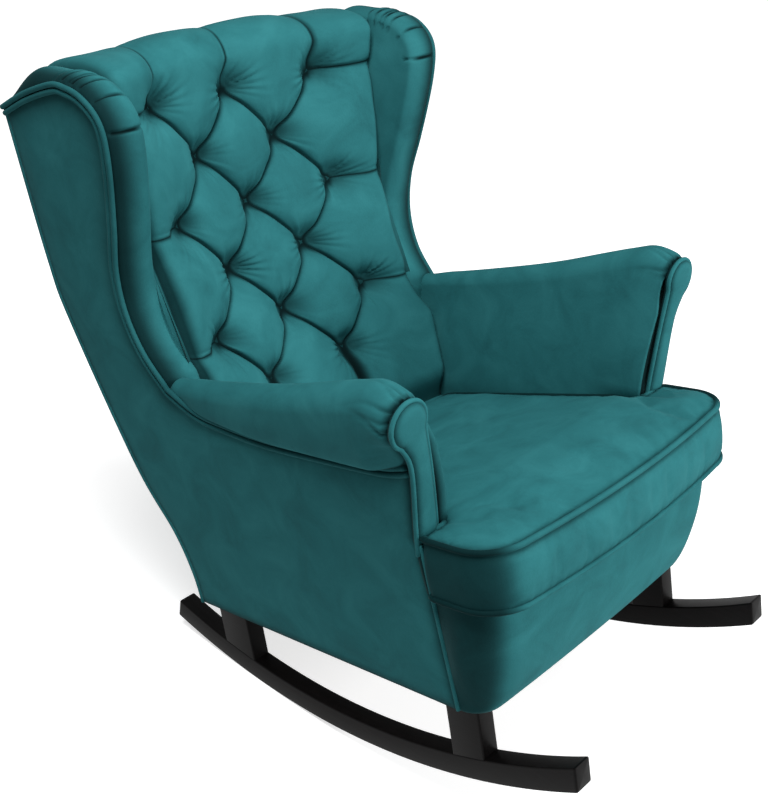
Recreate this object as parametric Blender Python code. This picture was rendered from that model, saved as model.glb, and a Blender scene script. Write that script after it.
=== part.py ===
# Tufted wingback rocking chair: an upholstered body on two curved wooden rockers.
# Everything is modelled in the chair's own level frame (x to the sitter's left, y to the back, z up,
# zero under the middle of the rockers). One empty then leans the chair to the attitude it rests in.
from math import asin, atan2, ceil, cos, exp, floor, hypot, pi, radians, sin, sqrt, tan

import bmesh
import bpy
from mathutils import Matrix, Vector

# Clearances, metres
GAP = 0.0003  # between pieces that touch
SOFT_GAP = 0.001  # between pads that press on each other

# Stance
REST_LEAN = radians(11.3)  # an empty chair rolls back until its weight is over the line of contact

# Body
BODY_Z = 0.158  # underside; the heights of the body are measured from it
BODY_HALF_WIDTH = 0.269  # outside of the covers, at the underside
SIDE_FLARE = radians(5.3)  # the sides open outwards as they rise
SEAM_Y = -0.2565  # side cover meets front border
COVER = 0.004  # covered board of the side and back panels
BOARD = 0.018  # plywood of arms and wings

# Rockers and posts
ROCKER_RADIUS = 1.145  # of the running edge
ROCKER_HALF_ARC = radians(23.0)
ROCKER_FLAT = radians(2.0)  # the running edge is cut as short flats
ROCKER_HEIGHT = 0.038
ROCKER_WIDTH = 0.033
ROCKER_OUTER_X = BODY_HALF_WIDTH - 0.011
FRONT_POST_Y = SEAM_Y + 0.006
FRONT_POST_DEPTH = 0.063
REAR_POST_Y = 0.273
REAR_POST_DEPTH = 0.074
BOLT_RADIUS = 0.004
BOLT_HEAD_RADIUS = 0.0075
BOLT_HEAD = 0.005
BOLT_GRIP = 0.055  # how deep the bolt reaches into the post
BOLT_SET = 0.010  # the bolt stands this far from the post's middle, towards the chair's middle

# Seat frame, back frame and springing
FRAME_Z = BODY_Z + 0.0015  # the covers reach this much lower than the frame
RAIL = 0.022
RAIL_HEIGHT = 0.160
RAIL_TOP_Z = FRAME_Z + RAIL_HEIGHT
FRAME_FRONT_Y = SEAM_Y - RAIL  # the side rails end at the seam, the front rail lies before them
CORNER_BLOCK = 0.050
CORNER_LEG = 0.075
STILE_DEPTH = 0.040
STILE_WIDTH = 0.028
STILE_TOP_Z = BODY_Z + 0.870
BACK_RAIL_HEIGHT = 0.058
LOWER_BACK_RAIL_Z = BODY_Z + 0.187
RAIL_RECESS = 0.003  # cross rails of the back sit this far behind the stiles' front
LINING = 0.0015  # webbing sheet and dust cover
SPRING_WIRE = 0.0019
SPRING_COUNT = 4
SPRING_PITCH = 0.4 * BODY_HALF_WIDTH
SPRING_BENDS = 9
SPRING_HALF_WIDTH = 0.022
SPRING_LOOP = 0.006  # how far a bend bulges along the spring
SPRING_SEAT = 0.010  # how far the ends lie on the rails
DECK = 0.031
DECK_TOP_Z = RAIL_TOP_Z + 2 * SPRING_WIRE + 2 * GAP + DECK

# Front border
BORDER_CORNER = 0.055
BORDER_BOW = 0.004

# Arms
ARM_FOOT_Z = BODY_Z + 0.287  # the facing panels start here
ARM_LEAN = 0.200  # forward run of the arm fronts for each metre of rise
ARM_PANEL = 0.008
ARM_ROLL_X = BODY_HALF_WIDTH + 0.051
ARM_ROLL_Z = BODY_Z + 0.474
ARM_ROLL_RADIUS = 0.036
ARM_REAR_X = BODY_HALF_WIDTH + 0.023  # the roll thins and closes in towards the wing
ARM_REAR_RADIUS = 0.020
ARM_PIPING = 0.002  # the facing stands back this far inside the roll
ARM_LAP = 0.005  # the roll ends this far over the side panel's edge
ARM_BOARD_TOP_Z = BODY_Z + 0.427
ARM_BOARD_RAIL = 0.045
ARM_BOARD_POST = 0.050

# Wings
WING_FOOT_Z = BODY_Z + 0.430
WING_TUCK = 0.012  # the pad starts this far over the board's foot
WING_ROLL = 0.030  # radius of the padded edge
WING_ROLL_DEPTH = 0.022  # its middle, inside the side cover's face
WING_INSIDE = 0.074  # depth from the side cover to the inside face
WING_SHOULDER = 0.010  # the inside face falls away this much towards the roll
WING_BOARD_TOP_Z = BODY_Z + 0.872
WING_CREST = 0.040  # height of the padding over the welt behind the top corner
WING_END = 0.009  # and at the rear end

# Inside back
BACK_TOP_Z = BODY_Z + 0.937
BACK_CROWN = 0.045  # height of the roll over the top rail
BACK_HOLLOW = 0.029  # the middle lies this far behind the outer buttons
PILLOW = 0.030  # height of the tufts over the buttons
DIMPLE = 0.022  # how fast the cover rises round a button
BUTTON_ROWS = 6
BUTTON_TOP_Z = BODY_Z + 0.8435
BUTTON_ROW_PITCH = 0.0955
BUTTON_HALF_PITCH = 0.086
BUTTON_REACH = 2 * BUTTON_HALF_PITCH  # the outer buttons, from the middle
BUTTON_RADIUS = 0.0115
BUTTON_THICKNESS = 0.009
BACK_COLUMNS = 40
BACK_ROWS = 48

# Seat cushion
CUSHION_FRONT_Y = SEAM_Y - 0.150
CUSHION_BOW = 0.014
CUSHION_EAR_Y = SEAM_Y - 0.006
CUSHION_REAR_Y = 0.165
CUSHION_REAR_CORNER = 0.030
CUSHION_EAR_X = BODY_HALF_WIDTH + 0.031
CUSHION_TONGUE_X = BODY_HALF_WIDTH - 0.024
CUSHION_BASE_Z = DECK_TOP_Z + GAP
CUSHION_THICKNESS = 0.094
CUSHION_TOP_Z = CUSHION_BASE_Z + CUSHION_THICKNESS
CUSHION_CORNER = 0.070
CUSHION_EDGE = 0.010
CUSHION_CROWN = 0.020  # rise of the top towards its middle
CUSHION_FALL = 0.050  # the top falls this much from the ears to the back

# Outlines as (y, height over the underside)
REAR_LINE = [(0.328, 0.000), (0.327, 0.062), (0.344, 0.142), (0.397, 0.262), (0.455, 0.522), (0.462, 0.632),
             (0.447, 0.878)]
ARM_TOP = [(-0.300, 0.510), (-0.262, 0.524), (-0.180, 0.510), (-0.050, 0.482), (0.100, 0.459), (0.220, 0.446)]
ARM_WELT = [(-0.268, 0.398), (-0.050, 0.386), (0.130, 0.394), (0.236, 0.437)]
WING_WELT = [(0.284, 0.542), (0.250, 0.682), (0.204, 0.807), (0.212, 0.872), (0.290, 0.904)]
BACK_LINE = [(0.206, 0.206), (0.226, 0.272), (0.305, 0.448), (0.352, 0.642), (0.364, 0.762), (0.364, 0.882)]
# Outlines as (x from the half width, height over the underside)
ARM_INSIDE = [(-0.017, 0.198), (-0.007, 0.322), (0.001, 0.392)]
FACING_INSIDE = [(-0.001, 0.287), (0.001, 0.322), (0.009, 0.392)]
FACING_OUTSIDE = [(0.0445, 0.402), (0.0345, 0.312), (0.032, 0.287)]
# The front border as (y from the seam, height over the underside), and its y at the deck
BORDER_LINE = [(-0.0465, 0.000), (-0.0615, 0.027), (-0.0795, 0.087), (-0.0960, 0.152)]
BORDER_TOP = -0.1050

SIDES = {"left": 1, "right": -1}


def clear_scene():
    for obj in list(bpy.data.objects):
        bpy.data.objects.remove(obj, do_unlink=True)


def material(name, srgb, roughness, metallic=0.0):
    mat = bpy.data.materials.new(name)
    mat.use_nodes = True
    shader = mat.node_tree.nodes["Principled BSDF"]
    linear = [((c / 255 + 0.055) / 1.055) ** 2.4 for c in srgb]
    shader.inputs["Base Color"].default_value = (*linear, 1.0)
    shader.inputs["Roughness"].default_value = roughness
    shader.inputs["Metallic"].default_value = metallic
    return mat


clear_scene()
parts = bpy.data.collections.new("tufted_rocking_chair")
cutters = bpy.data.collections.new("cutters")
bpy.context.scene.collection.children.link(parts)
bpy.context.scene.collection.children.link(cutters)
chair = bpy.data.objects.new("chair", None)
parts.objects.link(chair)

VELVET = material("teal_velvet", (42, 107, 112), 0.85)
BLACK_WOOD = material("black_stained_wood", (34, 30, 31), 0.45)
FRAME_WOOD = material("frame_timber", (196, 160, 116), 0.7)
PLYWOOD = material("plywood", (206, 176, 134), 0.7)
STEEL = material("steel", (120, 122, 126), 0.35, 1.0)
FELT = material("grey_felt", (120, 118, 112), 0.95)
DARK_CLOTH = material("dark_lining", (28, 28, 30), 0.95)


def add(name, data, mat, matrix=None):
    data.materials.append(mat)
    obj = bpy.data.objects.new(name, data)
    parts.objects.link(obj)
    obj.parent = chair
    obj.matrix_local = matrix or Matrix()
    return obj


# A smooth line through a few points, as evenly stepped points
def smooth(points, steps=6):
    ends = [points[0]] + list(points) + [points[-1]]
    line = []
    for a, b, c, d in zip(ends, ends[1:], ends[2:], ends[3:]):
        for k in range(steps):
            t = k / steps
            line.append(tuple(
                q + t / 2 * (r - p + t * (2 * p - 5 * q + 4 * r - s + t * (3 * q - p - 3 * r + s)))
                for p, q, r, s in zip(a, b, c, d)))
    return line + [tuple(points[-1])]


# The y of a line at height z (lines here rise steadily)
def y_at(line, z):
    for (y0, z0), (y1, z1) in zip(line, line[1:]):
        if z <= z1:
            return y0 + (y1 - y0) * max(0.0, (z - z0) / (z1 - z0))
    return line[-1][0]


# The z of a line at depth y
def z_at(line, y):
    return y_at([(z, y) for y, z in line], y)


def arc(centre, radius, start, end, steps):
    angles = [start + (end - start) * k / steps for k in range(steps + 1)]
    return [(centre[0] + radius * cos(a), centre[1] + radius * sin(a)) for a in angles]


def ramp(value, low, high):
    t = min(max((value - low) / (high - low), 0.0), 1.0)
    return t * t * (3 - 2 * t)


# Half width of the chair at height z, at a depth inside the side covers
def side_x(z, depth=0.0):
    return BODY_HALF_WIDTH + (z - BODY_Z) * tan(SIDE_FLARE) - depth / cos(SIDE_FLARE)


# A flat outline given thickness; matrix places the outline's plane in the chair
def plate(name, outline, thickness, matrix, mat):
    curve = bpy.data.curves.new(name, "CURVE")
    curve.dimensions = "2D"
    curve.fill_mode = "BOTH"
    curve.extrude = thickness / 2
    spline = curve.splines.new("POLY")
    spline.points.add(len(outline) - 1)
    for point, (a, b) in zip(spline.points, outline):
        point.co = (a, b, 0.0, 1.0)
    spline.use_cyclic_u = True
    return add(name, curve, mat, matrix)


def axes(x_axis, y_axis, origin):
    x_axis, y_axis = Vector(x_axis), Vector(y_axis)
    rotation = Matrix((x_axis, y_axis, x_axis.cross(y_axis))).transposed()
    return Matrix.Translation(origin) @ rotation.to_4x4()


# A board seen from the side, (y, z) outline, upright
def side_profile(name, outline, x, thickness, mat):
    return plate(name, outline, thickness, axes((0, 1, 0), (0, 0, 1), (x, 0, 0)), mat)


# A board seen from the front, (x, z) outline
def front_profile(name, outline, y, thickness, mat):
    return plate(name, outline, thickness, axes((1, 0, 0), (0, 0, 1), (0, y, 0)), mat)


# A board in the flaring plane of a side, (y, z) outline, starting at a depth inside the cover's face
def flared_board(name, outline, depth, thickness, side, mat):
    rise = (side * sin(SIDE_FLARE), 0, cos(SIDE_FLARE))
    inward = Vector((-side * cos(SIDE_FLARE), 0, sin(SIDE_FLARE)))
    middle = depth + thickness / 2
    origin = Vector((side * BODY_HALF_WIDTH, 0, BODY_Z)) + inward * middle
    lift = middle * sin(SIDE_FLARE)
    flat = [(y, (z - BODY_Z - lift) / cos(SIDE_FLARE)) for y, z in outline]
    return plate(name, flat, thickness, axes((0, 1, 0), rise, origin), mat)


# A closed body through rings of points
def loft(name, rings, mat, origin=(0, 0, 0)):
    bm = bmesh.new()
    rows = [[bm.verts.new(Vector(p) - Vector(origin)) for p in ring] for ring in rings]
    for low, high in zip(rows, rows[1:]):
        for k in range(len(low)):
            n = (k + 1) % len(low)
            bm.faces.new((low[k], low[n], high[n], high[k]))
    bm.faces.new(rows[0])
    bm.faces.new(rows[-1])
    bmesh.ops.recalc_face_normals(bm, faces=bm.faces)
    mesh = bpy.data.meshes.new(name)
    bm.to_mesh(mesh)
    bm.free()
    mesh.shade_smooth()
    mesh.set_sharp_from_angle(angle=radians(40))
    return add(name, mesh, mat, Matrix.Translation(origin))


# Solid primitives
def block(name, low, high, mat):
    bm = bmesh.new()
    bmesh.ops.create_cube(bm, size=1.0)
    size = Vector(high) - Vector(low)
    bmesh.ops.scale(bm, vec=size, verts=bm.verts)
    mesh = bpy.data.meshes.new(name)
    bm.to_mesh(mesh)
    bm.free()
    return add(name, mesh, mat, Matrix.Translation((Vector(low) + Vector(high)) / 2))


# A bolt's clearance hole through a piece, upright at a place (x, y)
def cut_hole(obj, place, z_low, z_high):
    bm = bmesh.new()
    radius = BOLT_RADIUS + GAP
    depth = z_high - z_low
    bmesh.ops.create_cone(bm, cap_ends=True, segments=16, radius1=radius, radius2=radius, depth=depth)
    mesh = bpy.data.meshes.new(obj.name + "_hole")
    bm.to_mesh(mesh)
    bm.free()
    cutter = bpy.data.objects.new(obj.name + "_hole", mesh)
    cutters.objects.link(cutter)
    cutter.parent = chair
    cutter.matrix_local = Matrix.Translation((*place, (z_low + z_high) / 2))
    cutter.hide_render = True
    cutter.display_type = "WIRE"
    cut = obj.modifiers.new("hole", "BOOLEAN")
    cut.object = cutter


# A curve that takes a cut becomes a mesh first, with its caps welded
def to_mesh(curve_obj):
    depsgraph = bpy.context.evaluated_depsgraph_get()
    mesh = bpy.data.meshes.new_from_object(curve_obj.evaluated_get(depsgraph))
    bm = bmesh.new()
    bm.from_mesh(mesh)
    bmesh.ops.remove_doubles(bm, verts=bm.verts, dist=0.00001)
    bmesh.ops.recalc_face_normals(bm, faces=bm.faces)
    bm.to_mesh(mesh)
    bm.free()
    name, matrix = curve_obj.name, curve_obj.matrix_local.copy()
    curve_obj.name = name + "_outline"
    bpy.data.objects.remove(curve_obj, do_unlink=True)
    obj = bpy.data.objects.new(name, mesh)
    parts.objects.link(obj)
    obj.parent = chair
    obj.matrix_local = matrix
    return obj


def raised(points, across=0.0):
    return [(across + a, BODY_Z + rise) for a, rise in points]


rear_line = smooth(raised(REAR_LINE))
arm_top = smooth(raised(ARM_TOP), 4)
arm_welt = smooth(raised(ARM_WELT), 5)
wing_welt = smooth(raised(ARM_WELT[-1:] + WING_WELT), 5)
welt_end = (rear_line[-1][0] - SOFT_GAP, rear_line[-1][1])
back_line = smooth(raised(BACK_LINE))
back_foot_z = back_line[0][1]
arm_inside = raised(ARM_INSIDE, BODY_HALF_WIDTH)
ledge_z = rear_line[-1][1] + SOFT_GAP  # where the pads come down on the top edge of the back panel
wing_foot = (y_at(wing_welt, WING_FOOT_Z + WING_TUCK), WING_FOOT_Z + WING_TUCK)
arm_rear_y = wing_foot[0] - WING_ROLL - 2 * SOFT_GAP


def rear_y(z):
    return y_at(rear_line, z)


def stile_front_y(z):
    return rear_y(z) - COVER - SOFT_GAP - STILE_DEPTH


# The foremost reach of the stiles over a stretch of height
def stile_front_over(low, high):
    return min(stile_front_y(z) for z in [low, high] + [z for y, z in rear_line if low < z < high])


# The plane of the arm fronts
def arm_front_y(z):
    return SEAM_Y - ARM_LEAN * (z - ARM_FOOT_Z)


def rocker_point(radius, angle):
    return (radius * sin(angle), ROCKER_RADIUS - radius * cos(angle))


# Rockers: the flats are laid out from the one the chair rests on
def build_rockers():
    first = ceil((-ROCKER_HALF_ARC - REST_LEAN) / ROCKER_FLAT - 0.5)
    last = floor((ROCKER_HALF_ARC - REST_LEAN) / ROCKER_FLAT - 0.5)
    inner = [REST_LEAN + (k + 0.5) * ROCKER_FLAT for k in range(first, last + 1)]
    angles = [-ROCKER_HALF_ARC] + [a for a in inner if abs(a) < ROCKER_HALF_ARC - 0.003] + [ROCKER_HALF_ARC]
    outline = [rocker_point(ROCKER_RADIUS, a) for a in angles]
    outline += [rocker_point(ROCKER_RADIUS - ROCKER_HEIGHT, a) for a in reversed(angles)]
    for name, side in SIDES.items():
        x = side * (ROCKER_OUTER_X - ROCKER_WIDTH / 2)
        side_profile(f"rocker_{name}", outline, x, ROCKER_WIDTH, BLACK_WOOD)


# Posts stand on the rocker's top edge, cut to its curve, and carry the body on a bolt each
def build_posts():
    seat_radius = ROCKER_RADIUS - ROCKER_HEIGHT - GAP
    top = BODY_Z - GAP
    ends = {"front": (FRONT_POST_Y, FRONT_POST_DEPTH, BOLT_SET),
            "rear": (REAR_POST_Y, REAR_POST_DEPTH, -BOLT_SET)}
    for end, (mid, depth, bolt_set) in ends.items():
        feet = [mid + depth * (k / 6 - 0.5) for k in range(7)]
        outline = [(y, ROCKER_RADIUS - sqrt(seat_radius**2 - y * y)) for y in feet]
        outline += [(feet[-1], top), (feet[0], top)]
        for name, side in SIDES.items():
            x = side * (ROCKER_OUTER_X - ROCKER_WIDTH / 2)
            post = to_mesh(side_profile(f"{end}_post_{name}", outline, x, ROCKER_WIDTH, BLACK_WOOD))
            bolt = (side * (ROCKER_OUTER_X - ROCKER_WIDTH + 2 * BOLT_RADIUS), mid + bolt_set)
            cut_hole(post, bolt, BODY_Z - BOLT_GRIP - GAP, FRAME_Z)
            build_corner(end, name, side, bolt)


# Corner block of the seat frame and the bolt that goes down through it into the post
def build_corner(end, name, side, bolt):
    low, top = FRAME_Z, FRAME_Z + CORNER_BLOCK
    edge = side_x(low, COVER + RAIL + 3 * GAP) * side
    if end == "front":
        wall, run = FRAME_FRONT_Y + RAIL + GAP, CORNER_LEG
    else:
        wall, run = stile_front_over(low, top) - SOFT_GAP, -CORNER_LEG
    outline = [(edge, wall), (edge - side * CORNER_LEG, wall), (edge, wall + run)]
    flat = axes((1, 0, 0), (0, 1, 0), (0, 0, (low + top) / 2))
    corner = to_mesh(plate(f"{end}_corner_block_{name}", outline, top - low, flat, FRAME_WOOD))
    cut_hole(corner, bolt, low - BOLT_HEAD, top + BOLT_HEAD)
    seat = top + GAP
    rings = [(BOLT_RADIUS, BODY_Z - BOLT_GRIP), (BOLT_RADIUS, seat), (BOLT_HEAD_RADIUS, seat),
             (BOLT_HEAD_RADIUS, seat + BOLT_HEAD)]
    turn = [2 * pi * k / 12 for k in range(12)]
    loft(f"{end}_post_bolt_{name}",
         [[(bolt[0] + r * cos(a), bolt[1] + r * sin(a), z) for a in turn] for r, z in rings], STEEL)


# Seat frame: four rails, the stiles of the back and the rails between them
def build_frame():
    low, high = FRAME_Z, RAIL_TOP_Z
    skin = COVER + GAP

    def between(depth, bottom, top):
        a, b = side_x(bottom, depth), side_x(top, depth)
        return [(-a, bottom), (a, bottom), (b, top), (-b, top)]

    front_profile("front_rail", between(skin + RAIL, low, high), FRAME_FRONT_Y + RAIL / 2, RAIL, FRAME_WOOD)
    rails_front = FRAME_FRONT_Y + RAIL + GAP
    rails_rear = stile_front_over(low, high) - SOFT_GAP
    side_rail = [(rails_front, low), (rails_rear, low), (rails_rear, high), (rails_front, high)]
    heights = [low] + [z for y, z in rear_line if low < z < STILE_TOP_Z] + [STILE_TOP_Z]
    stile = [(stile_front_y(z), z) for z in heights]
    stile += [(stile_front_y(z) + STILE_DEPTH, z) for z in reversed(heights)]
    for name, side in SIDES.items():
        flared_board(f"side_rail_{name}", side_rail, skin, RAIL, side, FRAME_WOOD)
        flared_board(f"back_stile_{name}", stile, skin, STILE_WIDTH, side, FRAME_WOOD)
    inside = skin + STILE_WIDTH + GAP
    rows = {"rear_rail": (low, high),
            "lower_back_rail": (LOWER_BACK_RAIL_Z, LOWER_BACK_RAIL_Z + BACK_RAIL_HEIGHT),
            "top_rail": (STILE_TOP_Z - BACK_RAIL_HEIGHT, STILE_TOP_Z)}
    for name, (bottom, top) in rows.items():
        rings = []
        for z in (bottom, top):
            x, y = side_x(z, inside), stile_front_y(z) + RAIL_RECESS
            rings.append([(-x, y, z), (x, y, z), (x, y + RAIL, z), (-x, y + RAIL, z)])
        loft(name, rings, FRAME_WOOD)


# Arm and wing boards, sawn from plywood, in the plane of the side
def build_boards():
    skin = COVER + GAP
    foot = RAIL_TOP_Z + SOFT_GAP
    top, rail = ARM_BOARD_TOP_Z, ARM_BOARD_TOP_Z - ARM_BOARD_RAIL
    front = ARM_PANEL + 2 * GAP
    post = SEAM_Y + front + ARM_BOARD_POST
    arm = [(SEAM_Y + front, foot), (SEAM_Y + front, ARM_FOOT_Z), (arm_front_y(top) + front, top)]
    arm += [(stile_front_y(z) - SOFT_GAP, z) for z in (top, rail)] + [(post, rail), (post, foot)]
    between = [z for y, z in wing_welt if WING_FOOT_Z < z < WING_BOARD_TOP_Z]
    levels = [WING_FOOT_Z] + between + [WING_BOARD_TOP_Z]
    wing = [(y_at(wing_welt, z) + SOFT_GAP, z) for z in levels]
    wing += [(stile_front_y(z) - SOFT_GAP, z) for z in reversed(levels)]
    for name, side in SIDES.items():
        flared_board(f"arm_board_{name}", arm, skin, BOARD, side, PLYWOOD)
        flared_board(f"wing_board_{name}", wing, skin, BOARD, side, PLYWOOD)


# Covered outer panels: the two sides, and the back between them
def build_covers():
    behind_panel = SEAM_Y + ARM_PANEL + 2 * GAP
    notch = ARM_FOOT_Z - ARM_PANEL * ARM_LEAN - GAP
    side = [(SEAM_Y + GAP, BODY_Z), (SEAM_Y + GAP, notch), (behind_panel, notch)]
    side += arm_welt[:-1] + wing_welt + [welt_end]
    side += list(reversed(rear_line))
    for name, sign in SIDES.items():
        flared_board(f"side_panel_{name}", side, 0.0, COVER, sign, VELVET)
    rings = []
    for y, z in rear_line:
        x = side_x(z, COVER + GAP)
        rings.append([(-x, y - COVER, z), (x, y - COVER, z), (x, y, z), (-x, y, z)])
    loft("outer_back_panel", rings, VELVET)


# Padded border under the cushion, wrapped round the front corners to the side seams
def build_front_border():
    rail_end = COVER + GAP + RAIL
    rings = []
    for front, z in raised(BORDER_LINE, SEAM_Y) + [(SEAM_Y + BORDER_TOP, DECK_TOP_Z)]:
        x, inside = side_x(z), side_x(z, rail_end) + GAP
        corner = min(BORDER_CORNER, SEAM_Y - front - SOFT_GAP)
        half = [(x, SEAM_Y - GAP)] + arc((x - corner, front + corner), corner, 0.0, -pi / 2, 6)
        half += [((x - corner) * t, front - BORDER_BOW * (1 - t * t)) for t in (2 / 3, 1 / 3)]
        inner = [(inside, FRAME_FRONT_Y - GAP), (inside, SEAM_Y - GAP)]
        ring = half + [(0.0, front - BORDER_BOW)] + [(-a, b) for a, b in reversed(half)]
        ring += [(-a, b) for a, b in reversed(inner)] + inner
        rings.append([(a, b, z) for a, b in ring])
    loft("front_border", rings, VELVET)


# Rolled arms: padding over the arm board, and the facing panel at the front
def build_arms():
    pocket = COVER + BOARD + 2 * GAP
    foot = (side_x(DECK_TOP_Z, pocket), DECK_TOP_Z + SOFT_GAP)
    inner = [(arm_inside[0][0], DECK_TOP_Z + SOFT_GAP)] + arm_inside[1:]

    # The roll hangs over the welt at the front and only closes down to it at the wing
    def section(y):
        way = (y - SEAM_Y) / (arm_rear_y - SEAM_Y)
        radius = ARM_ROLL_RADIUS + (ARM_REAR_RADIUS - ARM_ROLL_RADIUS) * way
        middle = (ARM_ROLL_X + (ARM_REAR_X - ARM_ROLL_X) * way, ARM_ROLL_Z)
        if way > 0:
            middle = (middle[0], z_at(arm_top, y) - radius)
        hook = max(z_at(arm_welt, y), z_at(arm_welt, SEAM_Y)) + ARM_LAP
        low = asin(min(max((hook + ARM_LAP - middle[1]) / radius, -0.94), 0.94))
        roll = arc(middle, radius, radians(190), low, 13)
        top = ARM_BOARD_TOP_Z + SOFT_GAP
        return inner + roll + [(side_x(hook), hook), (side_x(hook, COVER), hook), (side_x(top, COVER), top),
                               (side_x(top, pocket), top), foot]

    # Behind the roll the inside padding runs on under the wing to the back
    def tail(count):
        top = WING_FOOT_Z + WING_TUCK - 2 * SOFT_GAP
        low, high = inner[-1][0] + SOFT_GAP, side_x(top, pocket)
        return inner + [(low + (high - low) * k / (count - 1), top) for k in range(count)] + [foot]

    front = [(x, arm_front_y(z) + ARM_PANEL + 2 * GAP, z) for x, z in section(SEAM_Y)]
    stations = [SEAM_Y + (arm_rear_y - SEAM_Y) * k / 5 for k in range(1, 5)]
    rear = section(arm_rear_y)
    under_wing = tail(len(rear) - len(inner) - 1)
    rings = [front] + [[(x, y, z) for x, z in section(y)] for y in stations]
    rings.append([(x, max(arm_rear_y, y_at(wing_welt, z) - WING_ROLL - WING_TUCK), z) for x, z in rear])
    for y in (arm_rear_y + SOFT_GAP, stile_front_over(DECK_TOP_Z, WING_FOOT_Z) - 2 * SOFT_GAP):
        rings.append([(x, y, z) for x, z in under_wing])
    tilt = hypot(1.0, ARM_LEAN)
    facing = raised(FACING_INSIDE, BODY_HALF_WIDTH)
    facing += arc((ARM_ROLL_X, ARM_ROLL_Z), ARM_ROLL_RADIUS - ARM_PIPING, radians(200), radians(-65), 16)
    facing += raised(FACING_OUTSIDE, BODY_HALF_WIDTH)
    for name, side in SIDES.items():
        loft(f"arm_pad_{name}", [[(side * x, y, z) for x, y, z in ring] for ring in rings], VELVET)
        face = [(side * x, (z - ARM_FOOT_Z + GAP) * tilt) for x, z in facing]
        rise = Vector((0, -ARM_LEAN, 1)) / tilt
        origin = (0, SEAM_Y + ARM_PANEL / 2 * tilt, ARM_FOOT_Z)
        plate(f"arm_front_panel_{name}", face, ARM_PANEL, axes((1, 0, 0), rise, origin), VELVET)


# Wings: padding on the board's inside, rolled round its front edge and on over the top to the back.
# Each section stands on a point of the welt and is anchored at the back frame.
def build_wings():
    clear = 2 * GAP
    pocket = COVER + BOARD + clear
    corner = wing_welt[-1]
    front = [wing_foot] + [p for p in wing_welt if p[1] > wing_foot[1] + SOFT_GAP]
    run = (0.35, 0.7, 0.93, 1.0)
    path = front + [tuple(a + (b - a) * t for a, b in zip(corner, welt_end)) for t in run]
    turns = [radians(18 * k) for k in range(9)]

    def section(k):
        y, z = path[k]
        last = len(path) - 1
        dy, dz = (b - a for a, b in zip(path[max(k - 1, 0)], path[min(k + 1, last)]))
        out = (-dz / hypot(dy, dz), dy / hypot(dy, dz))
        if k == 0:
            out = (-1.0, 0.0)
        elif k >= len(front) - 1:
            out = (0.0, 1.0)
        over = ramp(z, WING_BOARD_TOP_Z - 2 * WING_ROLL, WING_BOARD_TOP_Z + WING_ROLL)
        rise = WING_ROLL
        anchor_y = stile_front_y(z) - 5 * SOFT_GAP
        anchor = (anchor_y, z - over * (z - WING_BOARD_TOP_Z + WING_SHOULDER))
        if k >= len(front):
            way = run[k - len(front)]
            rise = WING_CREST + (WING_END - WING_CREST) * ramp(way, run[0], 1.0)
            anchor = (anchor_y + (welt_end[0] - WING_SHOULDER - anchor_y) * way**2, ledge_z)

        def point(depth, lift):
            return (depth, y + out[0] * lift, z + out[1] * lift)

        seam = y_at(back_line, z) - BACK_HOLLOW * (side_x(z, WING_INSIDE) / BUTTON_REACH) ** 2
        share = min(max((seam - y) / max(anchor[0] - y, SOFT_GAP), 0.15), 0.8)
        roll = [point(WING_ROLL_DEPTH - WING_ROLL * cos(t), rise * sin(t)) for t in turns]
        inside = []
        for depth, part, lift in ((WING_INSIDE - WING_SHOULDER, 0.6, 0.85), (WING_INSIDE, 1.0, 0.6)):
            flat = (depth, *(a + (b - a) * share * part for a, b in zip((y, z), anchor)))
            crest = point(depth, rise * lift)
            inside.append(tuple(a + (b - a) * over for a, b in zip(flat, crest)))
        lift = clear if k < last else clear + 3 * SOFT_GAP
        back = [(WING_INSIDE, *anchor), (pocket, *anchor), point(pocket, lift), point(0.0, lift)]
        return [(side_x(c, a), b, c) for a, b, c in roll + inside + back]

    rings = [section(k) for k in range(len(path))]
    for name, side in SIDES.items():
        loft(f"wing_pad_{name}", [[(side * x, y, z) for x, y, z in r] for r in rings], VELVET)


def button_places():
    places = []
    for row in range(BUTTON_ROWS):
        columns = (-2, 0, 2) if row % 2 == 0 else (-1, 1)
        places += [(c * BUTTON_HALF_PITCH, BUTTON_TOP_Z - row * BUTTON_ROW_PITCH) for c in columns]
    return places


# Tuft height at a point of the back: nothing at the buttons, low along the pleats, full between them
def tuft(x, z, buttons):
    lowest = BUTTON_TOP_Z - (BUTTON_ROWS - 1) * BUTTON_ROW_PITCH
    u = min(max(x, -BUTTON_REACH), BUTTON_REACH) / BUTTON_HALF_PITCH
    v = (min(max(z, lowest), BUTTON_TOP_Z) - BUTTON_TOP_Z) / BUTTON_ROW_PITCH
    pleat = sqrt(abs(sin(pi * (u + v) / 2) * sin(pi * (u - v) / 2)))
    near = min(hypot(x - bx, z - bz) for bx, bz in buttons)
    dimple = 1 - exp(-((max(0.0, near - BUTTON_RADIUS) / DIMPLE) ** 2))
    free = ramp(z, CUSHION_TOP_Z - CUSHION_EDGE, lowest - BUTTON_RADIUS)  # none behind the cushion
    return PILLOW * (0.4 + 0.6 * pleat) * dimple * free


# The surface that the buttons are drawn down to, flatter across behind the cushion
def seat_y(x, z):
    hollow = BACK_HOLLOW * (0.35 + 0.65 * ramp(z, back_foot_z, WING_FOOT_Z))
    return y_at(back_line, z) - hollow * (x / BUTTON_REACH) ** 2


# The back fits between the wings, and lower down between the arms
def back_half_width(z):
    foot_z = wing_foot[1]
    between_wings = side_x(max(z, foot_z), WING_INSIDE + SOFT_GAP)
    between_arms = y_at(arm_inside, z) - SOFT_GAP
    share = ramp(z, foot_z - 2 * WING_ROLL, foot_z - WING_TUCK)
    return between_arms + (between_wings - between_arms) * share


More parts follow.
